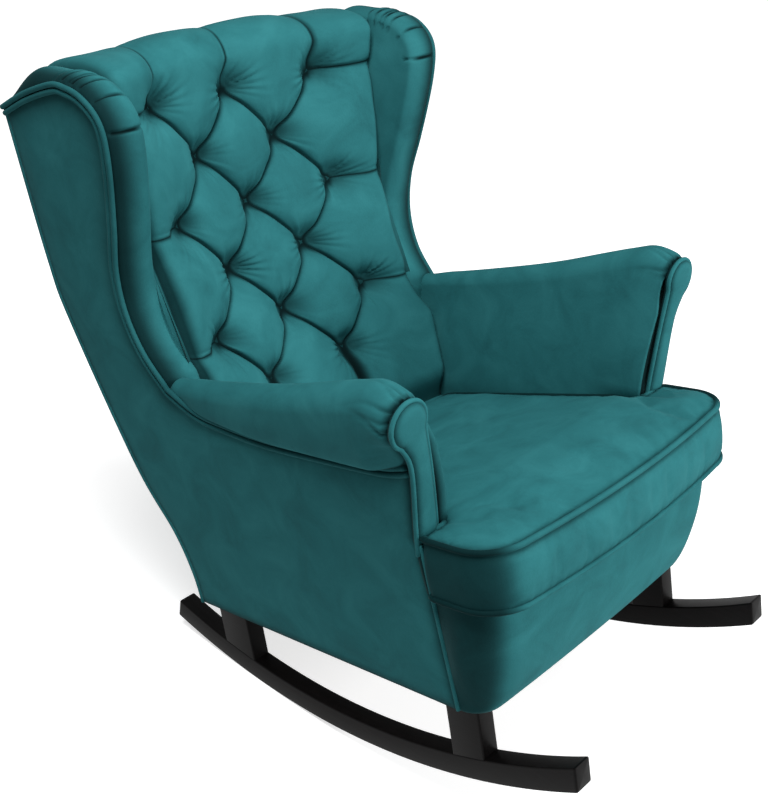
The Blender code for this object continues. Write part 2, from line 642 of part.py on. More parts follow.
# Inside back: one tufted pad from the deck over the top rail to the back edge, in level slices
def build_back():
    crown_z = BACK_TOP_Z - BACK_CROWN
    rear = welt_end[0]
    crest_y = (seat_y(0.0, crown_z) + rear) / 2
    buttons = button_places()
    columns = [2 * i / BACK_COLUMNS - 1 for i in range(BACK_COLUMNS + 1)]

    def slice_at(z, rear_y, roll=0.0):
        half = back_half_width(z)
        ring = []
        for x in (u * half for u in columns):
            y = seat_y(x, min(z, crown_z)) - tuft(x, min(z, crown_z), buttons)
            ring.append((x, y + (crest_y - y) * roll, z))
        rear_y += (crest_y - rear_y) * roll
        return ring + [(half, rear_y, z), (-half, rear_y, z)]

    rows = [back_foot_z + (crown_z - back_foot_z) * j / BACK_ROWS for j in range(BACK_ROWS + 1)]
    below = [z for z in rows if z < ledge_z - 3 * SOFT_GAP] + [ledge_z]
    above = [ledge_z + SOFT_GAP] + [z for z in rows if z > ledge_z + 3 * SOFT_GAP]
    rings = [slice_at(z, stile_front_y(z) - SOFT_GAP - LINING - 2 * GAP) for z in below]
    rings += [slice_at(z, rear) for z in above]
    for a in (radians(13 * k) for k in range(1, 7)):
        rings.append(slice_at(crown_z + BACK_CROWN * sin(a), rear, 1 - cos(a)))
    loft("inside_back_pad", rings, VELVET)
    for k, place in enumerate(buttons, 1):
        build_button(f"back_button_{k:02d}", *place)


# A covered button, drawn in square to the back
def build_button(name, x, z):
    step = BUTTON_RADIUS
    slope = atan2(seat_y(x, z + step) - seat_y(x, z - step), 2 * step)
    turn = atan2(-2 * BACK_HOLLOW * x, BUTTON_REACH**2)
    bm = bmesh.new()
    bmesh.ops.create_uvsphere(bm, u_segments=12, v_segments=6, radius=BUTTON_RADIUS)
    bmesh.ops.scale(bm, vec=(1, 1, BUTTON_THICKNESS / 2 / BUTTON_RADIUS), verts=bm.verts)
    mesh = bpy.data.meshes.new(name)
    bm.to_mesh(mesh)
    bm.free()
    mesh.shade_smooth()
    place = Matrix.Translation((x, seat_y(x, z) - BUTTON_THICKNESS / 2 - SOFT_GAP, z))
    add(name, mesh, VELVET, place @ Matrix.Rotation(turn, 4, "Z") @ Matrix.Rotation(pi / 2 - slope, 4, "X"))


# Webbing sheet over the back frame, springs and felt of the seat, and the lining underneath
def build_lining():
    rings = []
    for z in [z for y, z in rear_line if back_foot_z < z < STILE_TOP_Z]:
        x = side_x(z, COVER + BOARD + 4 * GAP)
        y = stile_front_y(z) - SOFT_GAP
        rings.append([(-x, y - LINING, z), (x, y - LINING, z), (x, y, z), (-x, y, z)])
    loft("back_webbing", rings, DARK_CLOTH)
    front = FRAME_FRONT_Y + SPRING_SEAT
    rear = stile_front_y(RAIL_TOP_Z) + RAIL_RECESS + SPRING_SEAT
    for k in range(SPRING_COUNT):
        build_spring(f"seat_spring_{k + 1}", (k - (SPRING_COUNT - 1) / 2) * SPRING_PITCH, front, rear)
    base = DECK_TOP_Z - DECK
    x = side_x(base, COVER + RAIL) - 5 * SOFT_GAP
    block("seat_deck", (-x, FRAME_FRONT_Y, base), (x, rear - 2 * SPRING_SEAT, DECK_TOP_Z), FELT)
    x = ROCKER_OUTER_X - ROCKER_WIDTH - 2 * SOFT_GAP
    top, rear = FRAME_Z - GAP, rear_y(FRAME_Z) - COVER - SOFT_GAP
    block("dust_cover", (-x, FRAME_FRONT_Y, top - LINING), (x, rear, top), DARK_CLOTH)


# A zigzag spring lying on the front and rear rails
def build_spring(name, middle, front, rear):
    curve = bpy.data.curves.new(name, "CURVE")
    curve.dimensions = "3D"
    curve.bevel_depth = SPRING_WIRE
    curve.bevel_resolution = 1
    curve.use_fill_caps = True
    spline = curve.splines.new("POLY")
    count = SPRING_BENDS * 4
    spline.points.add(count)
    for n, point in enumerate(spline.points):
        wave = pi * n / 4
        x = middle + SPRING_HALF_WIDTH * sin(wave)
        y = front + (rear - front) * n / count + SPRING_LOOP * sin(2 * wave)
        point.co = (x, y, RAIL_TOP_Z + GAP + SPRING_WIRE, 1.0)
    add(name, curve, STEEL)


# Loose seat cushion, T-shaped in plan so that its ears lie in front of the arms
def build_cushion():
    def half_plan(inset):
        r = CUSHION_CORNER - inset
        ear, front = CUSHION_EAR_X - inset, CUSHION_FRONT_Y + CUSHION_BOW + inset
        plan = [(0.0, front - CUSHION_BOW), ((ear - r) / 2, front - CUSHION_BOW * 0.75)]
        plan += arc((ear - r, front + r), r, -pi / 2, 0.0, 7)
        tongue, rear = CUSHION_TONGUE_X - inset, CUSHION_REAR_Y - inset
        plan += [(ear, CUSHION_EAR_Y - inset), (tongue, CUSHION_EAR_Y - inset)]
        r = CUSHION_REAR_CORNER
        return plan + arc((tongue - r, rear - r), r, 0.0, pi / 2, 4)

    def plan(inset):
        half = half_plan(inset)
        return half + [(-x, y) for x, y in reversed(half[1:])]

    def top_z(y):
        return CUSHION_TOP_Z - CUSHION_FALL * max(0.0, y - CUSHION_EAR_Y) / (CUSHION_REAR_Y - CUSHION_EAR_Y)

    rings = [[(x, y, CUSHION_BASE_Z + rise) for x, y in plan(CUSHION_EDGE - rise)] for rise in (0.0, CUSHION_EDGE)]
    rings += [[(x, y, top_z(y) - drop) for x, y in plan(CUSHION_EDGE - drop)] for drop in (CUSHION_EDGE, 0.0)]
    middle = CUSHION_EAR_Y - CUSHION_EDGE
    for share, rise, shift in ((0.80, 0.6, 0.0), (0.45, 1.0, CUSHION_CORNER)):
        ring = [(x * share, middle + shift + (y - middle) * share) for x, y in plan(CUSHION_EDGE)]
        rings.append([(x, y, top_z(y) + CUSHION_CROWN * rise) for x, y in ring])
    loft("seat_cushion", rings, VELVET, (0, (CUSHION_FRONT_Y + CUSHION_REAR_Y) / 2, CUSHION_BASE_Z))


# Lean the chair to its rest, then stand its box on the floor with the origin under the middle
def stand_chair():
    chair.rotation_euler = (-REST_LEAN, 0, 0)
    bpy.context.view_layer.update()
    depsgraph = bpy.context.evaluated_depsgraph_get()
    points = []
    for obj in parts.objects:
        if obj.type != "EMPTY":
            evaluated = obj.evaluated_get(depsgraph)
            mesh = evaluated.to_mesh()
            points += [evaluated.matrix_world @ v.co for v in mesh.vertices]
            evaluated.to_mesh_clear()
    front, rear = min(p.y for p in points), max(p.y for p in points)
    chair.location = (0, -(front + rear) / 2, -min(p.z for p in points))
    bpy.context.view_layer.update()


build_rockers()
build_posts()
build_frame()
build_boards()
build_covers()
build_front_border()
build_arms()
build_wings()
build_back()
build_lining()
build_cushion()
stand_chair()
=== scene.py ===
# Tufted wingback rocking chair: velvet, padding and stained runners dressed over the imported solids
from math import cos, pi, radians, sin, tan

import bmesh
import bpy
import numpy as np
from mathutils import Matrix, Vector, noise
from mathutils.geometry import delaunay_2d_cdt


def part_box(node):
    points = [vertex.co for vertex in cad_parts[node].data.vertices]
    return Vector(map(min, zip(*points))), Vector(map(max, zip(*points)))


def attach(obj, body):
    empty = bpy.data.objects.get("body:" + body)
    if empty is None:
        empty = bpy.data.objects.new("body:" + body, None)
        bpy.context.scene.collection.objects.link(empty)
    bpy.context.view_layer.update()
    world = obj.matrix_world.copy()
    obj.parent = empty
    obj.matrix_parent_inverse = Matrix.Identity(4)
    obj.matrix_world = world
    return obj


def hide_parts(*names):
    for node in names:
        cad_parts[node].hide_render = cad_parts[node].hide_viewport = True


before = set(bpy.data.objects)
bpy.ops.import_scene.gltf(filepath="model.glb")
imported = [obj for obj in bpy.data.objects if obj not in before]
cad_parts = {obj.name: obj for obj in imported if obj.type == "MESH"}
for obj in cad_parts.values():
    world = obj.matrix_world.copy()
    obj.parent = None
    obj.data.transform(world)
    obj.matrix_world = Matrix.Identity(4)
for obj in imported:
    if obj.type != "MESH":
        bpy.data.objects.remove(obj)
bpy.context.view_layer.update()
scene = bpy.context.scene
print("frame loaded:", len(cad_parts), "solids")

# Everything is drawn in the chair's level frame, then leaned to its rest like the solids
stance = {"lean": radians(11.3), "radius": 1.145, "halfArc": radians(23.0), "flat": radians(2.0)}
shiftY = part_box("rocker_left")[0].y + stance["radius"] * (
    sin(stance["halfArc"] + stance["lean"]) - sin(stance["lean"]))
shiftZ = stance["radius"] * (cos(stance["flat"] / 2) - cos(stance["lean"]))


def columns(*parts):
    return np.column_stack(parts)


def stand(points):
    p = np.asarray(points, float).reshape(-1, 3)
    c, s = cos(stance["lean"]), sin(stance["lean"])
    return columns(p[:, 0], p[:, 1] * c + p[:, 2] * s + shiftY, p[:, 2] * c - p[:, 1] * s + shiftZ)


# Sizes of the body that several pieces share, metres
body = {"z": 0.158, "halfWidth": 0.269, "flare": radians(5.3), "seamY": -0.2565, "cover": 0.004, "pocket": 0.0226,
        "deckZ": 0.3549, "gap": 0.0003}


def raised(points, across=0.0):
    return [(across + a, body["z"] + h) for a, h in points]


# A smooth line through a few points
def smooth(points, steps=8):
    pts = np.array(points, float)
    ends = np.vstack([pts[:1], pts, pts[-1:]])
    t = np.linspace(0, 1, steps, endpoint=False)[:, None]
    runs = [b + t / 2 * (c - a + t * (2 * a - 5 * b + 4 * c - d + t * (3 * b - a - 3 * c + d)))
            for a, b, c, d in zip(ends, ends[1:], ends[2:], ends[3:])]
    return np.vstack(runs + [pts[-1:]])


# The same line in even steps
def stepped(line, step, closed=False):
    pts = np.asarray(line, float)
    if closed:
        pts = np.vstack([pts, pts[:1]])
    run = np.concatenate([[0], np.cumsum(np.linalg.norm(np.diff(pts, axis=0), axis=1))])
    at = np.linspace(0, run[-1], max(2, int(round(run[-1] / step)) + 1))
    if closed:
        at = at[:-1]
    return columns(*[np.interp(at, run, column) for column in pts.T])


def yAt(line, z):
    return np.interp(z, line[:, 1], line[:, 0])


def zAt(line, y):
    return np.interp(y, line[:, 0], line[:, 1])


def ramp(value, low, high):
    t = np.clip((value - low) / (high - low), 0.0, 1.0)
    return t * t * (3 - 2 * t)


# Half width of the chair at a height, at a depth inside the side covers
def sideX(z, depth=0.0):
    return body["halfWidth"] + (z - body["z"]) * tan(body["flare"]) - depth / cos(body["flare"])


# Points of a side, given as (y, z), at a depth inside its cover
def onSide(yz, depth):
    return columns(sideX(yz[:, 1], depth), yz)


def arc(centre, radius, start, end, count):
    a = np.linspace(radians(start), radians(end), count)
    return columns(centre[0] + radius * np.cos(a), centre[1] + radius * np.sin(a))


def lumps(points, size, depth, seed):
    return np.array([depth * noise.noise(Vector(p) / size + Vector((seed, seed * 0.37, -seed))) for p in points])


# Directions square to a line, on its left as it runs; easing keeps them from fanning out at a bend
def squareTo(line, easing=0, closed=False):
    ahead = np.roll(line, -1, axis=0) - np.roll(line, 1, axis=0) if closed else np.gradient(line, axis=0)
    for _ in range(easing):
        ahead[1:-1] = (ahead[:-2] + 2 * ahead[1:-1] + ahead[2:]) / 4
    return columns(-ahead[:, 1], ahead[:, 0]) / np.linalg.norm(ahead, axis=1)[:, None]


# Seams of the body and the front of its back frame, as (y, z)
rearLine = smooth(raised([(0.338, 0.0), (0.337, 0.062), (0.354, 0.142), (0.408, 0.262), (0.465, 0.522),
                          (0.47, 0.632), (0.447, 0.878)]))
stileFront = smooth(raised([(0.283, 0.0), (0.282, 0.062), (0.299, 0.142), (0.352, 0.262), (0.41, 0.522),
                            (0.417, 0.632), (0.402, 0.878)]))
armWelt = smooth(raised([(-0.268, 0.397), (-0.22, 0.3875), (-0.122, 0.3835), (0.008, 0.3815), (0.103, 0.388),
                         (0.175, 0.399), (0.236, 0.43)]))
wingWelt = smooth(raised([(0.236, 0.43), (0.274, 0.488), (0.289, 0.556), (0.279, 0.626), (0.249, 0.694),
                          (0.223, 0.757), (0.2065, 0.805), (0.2, 0.843), (0.2085, 0.868), (0.231, 0.889),
                          (0.257, 0.9), (0.291, 0.906), (0.373, 0.895), (0.446, 0.877)]))
wingFront = wingWelt[:np.argmax(wingWelt[:, 1])]
backLine = smooth(raised([(0.206, 0.206), (0.226, 0.272), (0.305, 0.448), (0.352, 0.642), (0.364, 0.762),
                          (0.364, 0.882)]))


def hexColour(text):
    parts = [int(text[k:k + 2], 16) / 255 for k in (1, 3, 5)]
    return tuple(c / 12.92 if c <= 0.04045 else ((c + 0.055) / 1.055) ** 2.4 for c in parts) + (1.0,)


# Adds a node with its settings and links (from a node's first output); stops are the tones of a colour ramp
def addNode(tree, kind, settings=None, links=None, stops=None):
    node = tree.nodes.new("ShaderNode" + kind)
    for key, value in (settings or {}).items():
        if isinstance(key, int) or key in node.inputs:
            node.inputs[key].default_value = value
        else:
            setattr(node, key, value)
    for key, source in (links or {}).items():
        tree.links.new(getattr(source, "outputs", [source])[0], node.inputs[key])
    if stops:
        ramped = node.color_ramp.elements
        while len(ramped) < len(stops):
            ramped.new(0.5)
        for element, (place, tone) in zip(ramped, stops):
            element.position = place
            element.color = hexColour(tone) if isinstance(tone, str) else (tone, tone, tone, 1.0)
    return node


def newMaterial(name, settings):
    mat = bpy.data.materials.new(name)
    mat.use_nodes = True
    tree = mat.node_tree
    tree.nodes.clear()
    shader = addNode(tree, "BsdfPrincipled", settings)
    addNode(tree, "OutputMaterial", None, {"Surface": shader})
    return mat, tree, shader, addNode(tree, "TexCoord").outputs["Object"]


# Joins a shader to its colour, the pattern of its gloss and its relief
def joinShader(tree, shader, colour, gloss, roughness, relief, strength, depth):
    rough = addNode(tree, "MapRange", {"To Min": roughness[0], "To Max": roughness[1]}, {"Value": gloss})
    bump = addNode(tree, "Bump", {"Strength": strength, "Distance": depth}, {"Height": relief})
    for socket, node in (("Base Color", colour), ("Roughness", rough), ("Normal", bump)):
        tree.links.new(node.outputs[0], shader.inputs[socket])


# Cotton velvet, woven with a cut pile: painted shade in the folds, seams and pits, a pale bloom where the pile turns
# away from the eye, and soft darker marks where hands have laid the pile over
velvetLook = {"dark": "#205559", "mid": "#245e62", "light": "#2a676b", "foldAndShade": "#020b0c", "napMark": 0.085,
              "pileMark": 0.0035, "pileDepth": 0.0006, "bloom": "#86bdbe", "bloomAmount": 0.055, "bloomSpread": 0.34,
              "roughness": (0.72, 0.92), "gloss": 0.03}


def tealVelvet():
    mat, tree, shader, place = newMaterial("tealCutVelvet", {
        "Specular IOR Level": velvetLook["gloss"], "Sheen Weight": velvetLook["bloomAmount"],
        "Sheen Roughness": velvetLook["bloomSpread"], "Sheen Tint": hexColour(velvetLook["bloom"])})
    nap = addNode(tree, "TexNoise", {"Scale": 1 / velvetLook["napMark"], "Detail": 4.0, "Roughness": 0.6,
                                     "Distortion": 0.8}, {"Vector": place})
    pile = addNode(tree, "TexNoise", {"Scale": 1 / velvetLook["pileMark"], "Detail": 2.0},
                   {"Vector": place})  # the pile is under 0.5 mm, drawn at 3.5 mm so that it shows
    both = addNode(tree, "Math", {"operation": "MULTIPLY_ADD", 1: 0.16}, {0: pile, 2: nap})
    tone = addNode(tree, "ValToRGB", None, {"Fac": both},
                   [(0.36, velvetLook["dark"]), (0.56, velvetLook["mid"]), (0.8, velvetLook["light"])])
    foldAndShade = addNode(tree, "Attribute", {"attribute_name": "foldAndShade"})  # painted shade in pleats, seams and pits
    # painted shade: the colour is mixed towards a near-black teal where the shade attribute is set
    paintedShade = addNode(tree, "MixRGB", {"Color2": hexColour(velvetLook["foldAndShade"])},
                   {"Fac": foldAndShade.outputs["Fac"], "Color1": tone})
    joinShader(tree, shader, paintedShade, nap, velvetLook["roughness"], pile, 0.35, velvetLook["pileDepth"])
    return mat


# A sawn timber: long fibres along one axis with darker pores between them
def timber(name, tones, grainWidth, grainLength, roughness, axis, gloss=0.5, pore=0.0003):
    mat, tree, shader, place = newMaterial(name, {"Specular IOR Level": gloss})
    stretch = [1 / grainWidth] * 3
    stretch[axis] = 1 / grainLength
    fibres = addNode(tree, "Mapping", {"Scale": stretch}, {"Vector": place})
    grain = addNode(tree, "TexNoise", {"Scale": 1.0, "Detail": 5.0, "Roughness": 0.65, "Distortion": 0.4},
                    {"Vector": fibres})
    tone = addNode(tree, "ValToRGB", None, {"Fac": grain},
                   [(0.3, tones[0]), (0.55, tones[1]), (0.78, tones[2])])
    joinShader(tree, shader, tone, grain, (roughness - 0.08, roughness + 0.1), grain, 0.4, pore)
    return mat


# A plain cloth or wire: one tone that drifts a little, with a fine surface
def fineSurface(name, tones, mark, roughness, depth, metallic=0.0):
    mat, tree, shader, place = newMaterial(name, {"Metallic": metallic})
    fine = addNode(tree, "TexNoise", {"Scale": 1 / mark, "Detail": 4.0, "Roughness": 0.7}, {"Vector": place})
    tone = addNode(tree, "ValToRGB", None, {"Fac": fine}, [(0.35, tones[0]), (0.7, tones[1])])
    joinShader(tree, shader, tone, fine, (roughness - 0.06, roughness + 0.06), fine, 0.5, depth)
    return mat


velvet = tealVelvet()
# Beech stained black and lacquered satin: the grain shows only as a faint change of gloss and tone
blackBeech = timber("blackStainedBeech", ("#040404", "#080707", "#0f0d0e"), 0.006, 0.12, 0.4, 1, 0.05)
frameBeech = timber("planedBeech", ("#b08a5c", "#c4a074", "#d6b88e"), 0.005, 0.15, 0.65, 2)  # bare, planed
birchPly = timber("birchPlywood", ("#c2a376", "#d2b78c", "#dfc8a2"), 0.012, 0.2, 0.7, 1)  # bare, sanded
springSteel = fineSurface("drawnSpringSteel", ("#6a6c70", "#8a8c90"), 0.004, 0.36, 0.00005, 1.0)  # drawn, oiled
greyFelt = fineSurface("needledFelt", ("#6e6b64", "#8a877f"), 0.004, 0.93, 0.0008)  # matted fibres, no gloss
darkLining = fineSurface("spunLining", ("#161618", "#242427"), 0.003, 0.9, 0.0002)  # black bonded cloth, dull
print("materials made")


# Faces between rings of points, closed round each ring; where heights are given, a quad is split along its valley
def ringFaces(count, size, heights=None):
    faces = []
    for i in range(count - 1):
        for k in range(size):
            n = (k + 1) % size
            a, b, c, d = i * size + k, i * size + n, (i + 1) * size + n, (i + 1) * size + k
            if heights is None:
                faces.append((a, b, c, d))
            elif heights[i, k] + heights[i + 1, n] < heights[i, n] + heights[i + 1, k]:
                faces += [(a, b, c), (a, c, d)]
            else:
                faces += [(a, b, d), (b, c, d)]
    return faces


# A closed body through rings, with a fan over each end
def loft(rings, heights=None):
    rings = np.asarray(rings, float)
    count, size = rings.shape[:2]
    points = np.vstack([rings.reshape(-1, 3), rings[0].mean(0), rings[-1].mean(0)])
    faces = ringFaces(count, size, heights)
    last = (count - 1) * size
    for k in range(size):
        n = (k + 1) % size
        faces += [(k, n, count * size), (last + k, last + n, count * size + 1)]
    return points, faces


# A tube of even thickness along a line of points
def tube(line, radius, closed=False, sides=10):
    ahead = np.roll(line, -1, axis=0) - np.roll(line, 1, axis=0)
    if not closed:
        ahead[0], ahead[-1] = line[1] - line[0], line[-1] - line[-2]
    ahead /= np.linalg.norm(ahead, axis=1)[:, None]
    side = np.cross(ahead[0], (0.3, 0.2, 0.93))
    turn = np.linspace(0, 2 * pi, sides, endpoint=False)
    rings = []
    for point, way in zip(line, ahead):
        side = side - way * side.dot(way)
        side /= np.linalg.norm(side)
        up = np.cross(way, side)
        rings.append([point + radius * (cos(t) * side + sin(t) * up) for t in turn])
    if not closed:
        return loft(rings)
    rings, last = np.array(rings), (len(rings) - 1) * sides
    gaps = [np.linalg.norm(rings[-1] - np.roll(rings[0], -r, axis=0), axis=1).sum() for r in range(sides)]
    r = int(np.argmin(gaps))  # the turn at which the last ring meets the first
    faces = ringFaces(len(rings), sides)
    faces += [(last + k, last + (k + 1) % sides, (k + 1 + r) % sides, (k + r) % sides) for k in range(sides)]
    return rings.reshape(-1, 3), faces


# Several meshes as one
def together(meshes):
    points, faces, start = [], [], 0
    for p, f in meshes:
        points.append(p)
        faces += [tuple(v + start for v in face) for face in f]
        start += len(p)
    return np.vstack(points), faces


# How far points lie from a closed outline, and whether they are inside it
def fromEdge(points, outline):
    far = np.full(len(points), 9.0)
    inside = np.zeros(len(points), bool)
    for a, b in zip(outline, np.roll(outline, -1, axis=0)):
        way = b - a
        t = np.clip((points - a) @ way / (way @ way), 0, 1)[:, None]
        far = np.minimum(far, np.linalg.norm(points - a - t * way, axis=1))
        if a[1] != b[1]:
            crossed = (points[:, 1] < a[1]) != (points[:, 1] < b[1])
            inside ^= crossed & (points[:, 0] < a[0] + (points[:, 1] - a[1]) * way[0] / way[1])
    return far, inside


# A flat outline filled with even triangles; the outline's points come first
def filled(outline, step):
    count = len(outline)
    low, high = outline.min(0), outline.max(0)
    rows = np.arange(low[1] + step / 2, high[1], step * 0.866)
    grid = np.array([(x + (k % 2) * step / 2, y) for k, y in enumerate(rows)
                     for x in np.arange(low[0], high[0], step)])
    far, inside = fromEdge(grid, outline)
    flat = np.vstack([outline, grid[inside & (far > 0.6 * step)]])
    made = delaunay_2d_cdt([Vector(p) for p in flat], [(k, (k + 1) % count) for k in range(count)], [], 1, 1e-7)
    place = [origin[0] for origin in made[3]]
    faces = [tuple(place[v] for v in face) for face in made[2]]
    return flat, faces, np.where(np.arange(len(flat)) < count, 0.0, fromEdge(flat, outline)[0])


# A closed body between two such sheets, with rings round the edge between them
def slab(faces, edge, rear, front, rings=()):
    points = np.vstack([rear, front, *rings])
    second = len(rear)
    loops = [0] + [second + len(front) + k * edge for k in range(len(rings))] + [second]
    walls = [(a + k, a + (k + 1) % edge, b + (k + 1) % edge, b + k)
             for a, b in zip(loops, loops[1:]) for k in range(edge)]
    return points, list(faces) + [tuple(second + v for v in f) for f in faces] + walls


def inScene(name, data):
    obj = bpy.data.objects.new(name, data)
    scene.collection.objects.link(obj)
    return obj


# A piece of the chair: its mesh, finish, the body it rides on and the solids it stands for
def addPiece(name, mesh, stands=(), fill=None, finish=velvet, slot="teal_velvet", rider="chair", sharp=None, cap=None):
    data = bpy.data.meshes.new(name)
    data.from_pydata(stand(mesh[0]).tolist(), [], mesh[1])
    # the painted shade of each point is stored on the mesh for the velvet
    if len(mesh) > 2:
        data.attributes.new("foldAndShade", "FLOAT", "POINT").data.foreach_set("value", mesh[2])
    bm = bmesh.new()
    bm.from_mesh(data)
    bmesh.ops.remove_doubles(bm, verts=bm.verts, dist=0.00002)
    bmesh.ops.dissolve_degenerate(bm, edges=bm.edges, dist=0.00001)
    bmesh.ops.recalc_face_normals(bm, faces=bm.faces)
    bm.to_mesh(data)
    bm.free()
    data.shade_smooth()
    if sharp:
        data.set_sharp_from_angle(angle=radians(sharp))
    data.materials.append(finish)
    obj = inScene(name, data)
    if cap:
        plump(obj, cap)
    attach(obj, rider)
    if stands:
        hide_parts(*stands)


# Pieces that come on both sides: name, mesh, solid and filling of each
def addPairs(*pieces, **more):
    for side, way in (("left", 1), ("right", -1)):
        for name, mesh, solid, fill in pieces:
            points = np.asarray(mesh[0]) * (way, 1, 1)
            addPiece(f"{name}_{side}", (points, *mesh[1:]), [f"{solid}_{side}"] if solid else (), fill, **more)


# The cover blown out a little between its seams by the filling; seams and the underside stay where they are
filling = {"pressure": 4.0, "frames": 20, "ease": 0.02}


def plump(obj, cap):
    data = obj.data
    rest = np.array([v.co for v in data.vertices])
    # seams are found by their painted shade, which is strongest on them
    held = [v.index for v, seam in zip(data.vertices, data.attributes["foldAndShade"].data)
            if seam.value > 0.5 or v.normal.z < -0.6]
    obj.vertex_groups.new(name="held").add(held, 1.0, "REPLACE")
    cloth = obj.modifiers.new("filling", "CLOTH")
    cloth.settings.use_pressure = True
    cloth.settings.uniform_pressure_force = filling["pressure"]
    cloth.settings.vertex_group_mass = "held"
    cloth.settings.shrink_min = -filling["ease"]
    cloth.settings.effector_weights.gravity = 0.0
    cloth.point_cache.frame_end = filling["frames"]
    for k in range(1, filling["frames"] + 1):
        scene.frame_set(k)
    done = obj.evaluated_get(bpy.context.evaluated_depsgraph_get()).data
    moved = np.array([v.co for v in done.vertices]) - rest
    obj.modifiers.remove(cloth)
    obj.vertex_groups.clear()
    scene.frame_set(1)
    moved *= np.minimum(1.0, cap / np.maximum(np.linalg.norm(moved, axis=1), 1e-9))[:, None]
    data.vertices.foreach_set("co", (rest + moved).ravel())
    data.update()
    print("filled", obj.name, "by up to", round(1000 * float(np.abs(moved).max()), 1), "mm")


# Painted shade or depth that is full on a line, such as a seam, and dies out with distance from it
def nearSeam(far, width, depth=0.85):
    return depth * np.exp(-(far / width) ** 2)


# Runners: bent timber with softened edges, and the short posts on them
rocker = {"height": 0.038, "width": 0.033, "outerX": 0.258, "edge": 0.0025, "sink": 0.0002, "frontY": 0.447,
          "ends": [(0.0, 0.0025), (0.0007, 0.0007), (0.0025, 0.0)], "postEdge": 0.003, "postGap": 0.0006}
rockerX = rocker["outerX"] - rocker["width"] / 2


def softRectangle(width, height, edge, inset=0.0):
    w, h = width / 2 - inset - edge, height / 2 - inset - edge
    corners = [(w, h), (-w, h), (-w, -h), (w, -h)]
    return np.vstack([arc(corner, edge, 90 * k, 90 * k + 90, 5) for k, corner in enumerate(corners)])


def rockerRunner():
    ends = rocker["ends"]
    length = 2 * stance["halfArc"] * stance["radius"]
    stations = [(a / length, inset) for a, inset in ends] + [(a, 0.0) for a in np.linspace(0.006, 0.994, 70)]
    stations += [(1 - a / length, inset) for a, inset in reversed(ends)]
    rings = []
    for way, inset in stations:
        ring = softRectangle(rocker["width"], rocker["height"], rocker["edge"], inset)
        radius = stance["radius"] - rocker["sink"] - rocker["height"] / 2 - ring[:, 1]
        front = -np.arcsin(rocker["frontY"] / radius)
        angle = front + (stance["halfArc"] - front) * way
        rings.append(columns(rockerX + ring[:, 0], radius * np.sin(angle), stance["radius"] - radius * np.cos(angle)))
    return loft(rings)


posts = {"front": (-0.2505, 0.063), "rear": (0.273, 0.074)}  # middle and depth, y


def post(middle, depth):
    plan = softRectangle(rocker["width"], depth, rocker["postEdge"]) + (rockerX, middle)
    seat = stance["radius"] - rocker["height"] - rocker["sink"]
    foot = stance["radius"] - np.sqrt(seat ** 2 - plan[:, 1] ** 2)
    head = body["z"] - rocker["postGap"]
    return loft([columns(plan, foot + (head - foot) * t) for t in (0.0, 0.5, 1.0)])


addPairs(("rockerRunner", rockerRunner(), "rocker", None),
         *[(f"{end}Post", post(*place), f"{end}_post", None) for end, place in posts.items()],
         finish=blackBeech, slot="black_wood", sharp=50)
print("runners and posts")

# Outer covers: thinly padded panels pulled over the sides and the back
cover = {"sideCrown": 0.006, "crownRun": 0.025, "lump": 0.16, "lumpDepth": 0.003, "step": 0.008, "seam": 0.01,
         "wingDark": 0.55, "wingDarkRun": 0.03, "backCrown": 0.008, "backPad": 0.0412, "backFoot": 0.1,
         "backStep": 0.012, "columns": 61, "armFootZ": 0.445, "armLean": 0.2,
         "armCorner": [(-0.2565, 0.443), (-0.2479, 0.4434)]}


def armFrontY(z):
    return body["seamY"] - cover["armLean"] * (z - cover["armFootZ"])


def sideCover():
    edge = np.vstack([[(body["seamY"], body["z"])], cover["armCorner"], armWelt[:-1], wingWelt, rearLine[::-1]])
    outline = stepped(edge, cover["step"], True)
    yz, faces, far = filled(outline, cover["step"])
    swell = cover["sideCrown"] * (1 - np.exp(-far / cover["crownRun"]))
    uneven = lumps(columns(yz, yz[:, 0] * 0), cover["lump"], cover["lumpDepth"], 3.0)
    swell += uneven * np.minimum(1.0, far / 0.04)
    points, faces = slab(faces, len(outline), onSide(yz, body["cover"]), onSide(yz, -swell))
    # painted shade along the seams and in a broad band beside the wing's welt
    byWing = np.linalg.norm(yz[:, None] - wingWelt[None], axis=2).min(axis=1)
    dark = np.maximum(nearSeam(far, cover["seam"], 0.8), nearSeam(byWing, cover["wingDarkRun"], cover["wingDark"]))
    return points, faces, np.tile(dark, 2)


def outerBack():
    y, z = stepped(rearLine, cover["backStep"]).T
    half = sideX(z, body["cover"] + body["gap"])
    front = yAt(stileFront, z) + cover["backPad"]
    crown = cover["backCrown"] * np.clip((z - body["z"]) / cover["backFoot"], 0, 1)
    rings = []
    for x in np.linspace(-1, 1, cover["columns"]):
        rear = columns(x * half, y + crown * (1 - x ** 2) ** 0.5, z)
        rings.append(np.vstack([columns(x * half, front, z), rear[::-1]]))
    points, size = np.vstack(rings), 2 * len(z)
    faces = ringFaces(len(rings), size)
    for start in (0, len(points) - size):  # strips close the ends, as fans would leave the curve
        end = start + size - 1
        faces += [(start + k, start + k + 1, end - 1 - k, end - k) for k in range(len(z) - 1)]
    return points, faces


addPairs(("sideCover", sideCover(), "side_panel", 0.3))
addPiece("outerBackCover", outerBack(), ["outer_back_panel"], 0.3)
print("outer covers")


# Painted shade round a front corner, darker by how far the cover faces sideways
def sideShade(facing):
    return 0.72 * ramp(np.abs(facing), 0.25, 0.75)


# Front border: padded panel under the cushion, wrapped round both corners
border = {"corner": 0.055, "bow": 0.004, "swell": 0.009, "swellRun": 0.03, "innerX": 0.026, "innerY": -0.2788,
          "line": [(-0.0465, 0.0), (-0.0615, 0.027), (-0.0795, 0.087), (-0.096, 0.152), (-0.105, 0.1969)],
          "tucks": [(-0.004, 0.01), (-0.003, 0.0045), (0.002, 0.001)]}  # height over the underside, pulled under


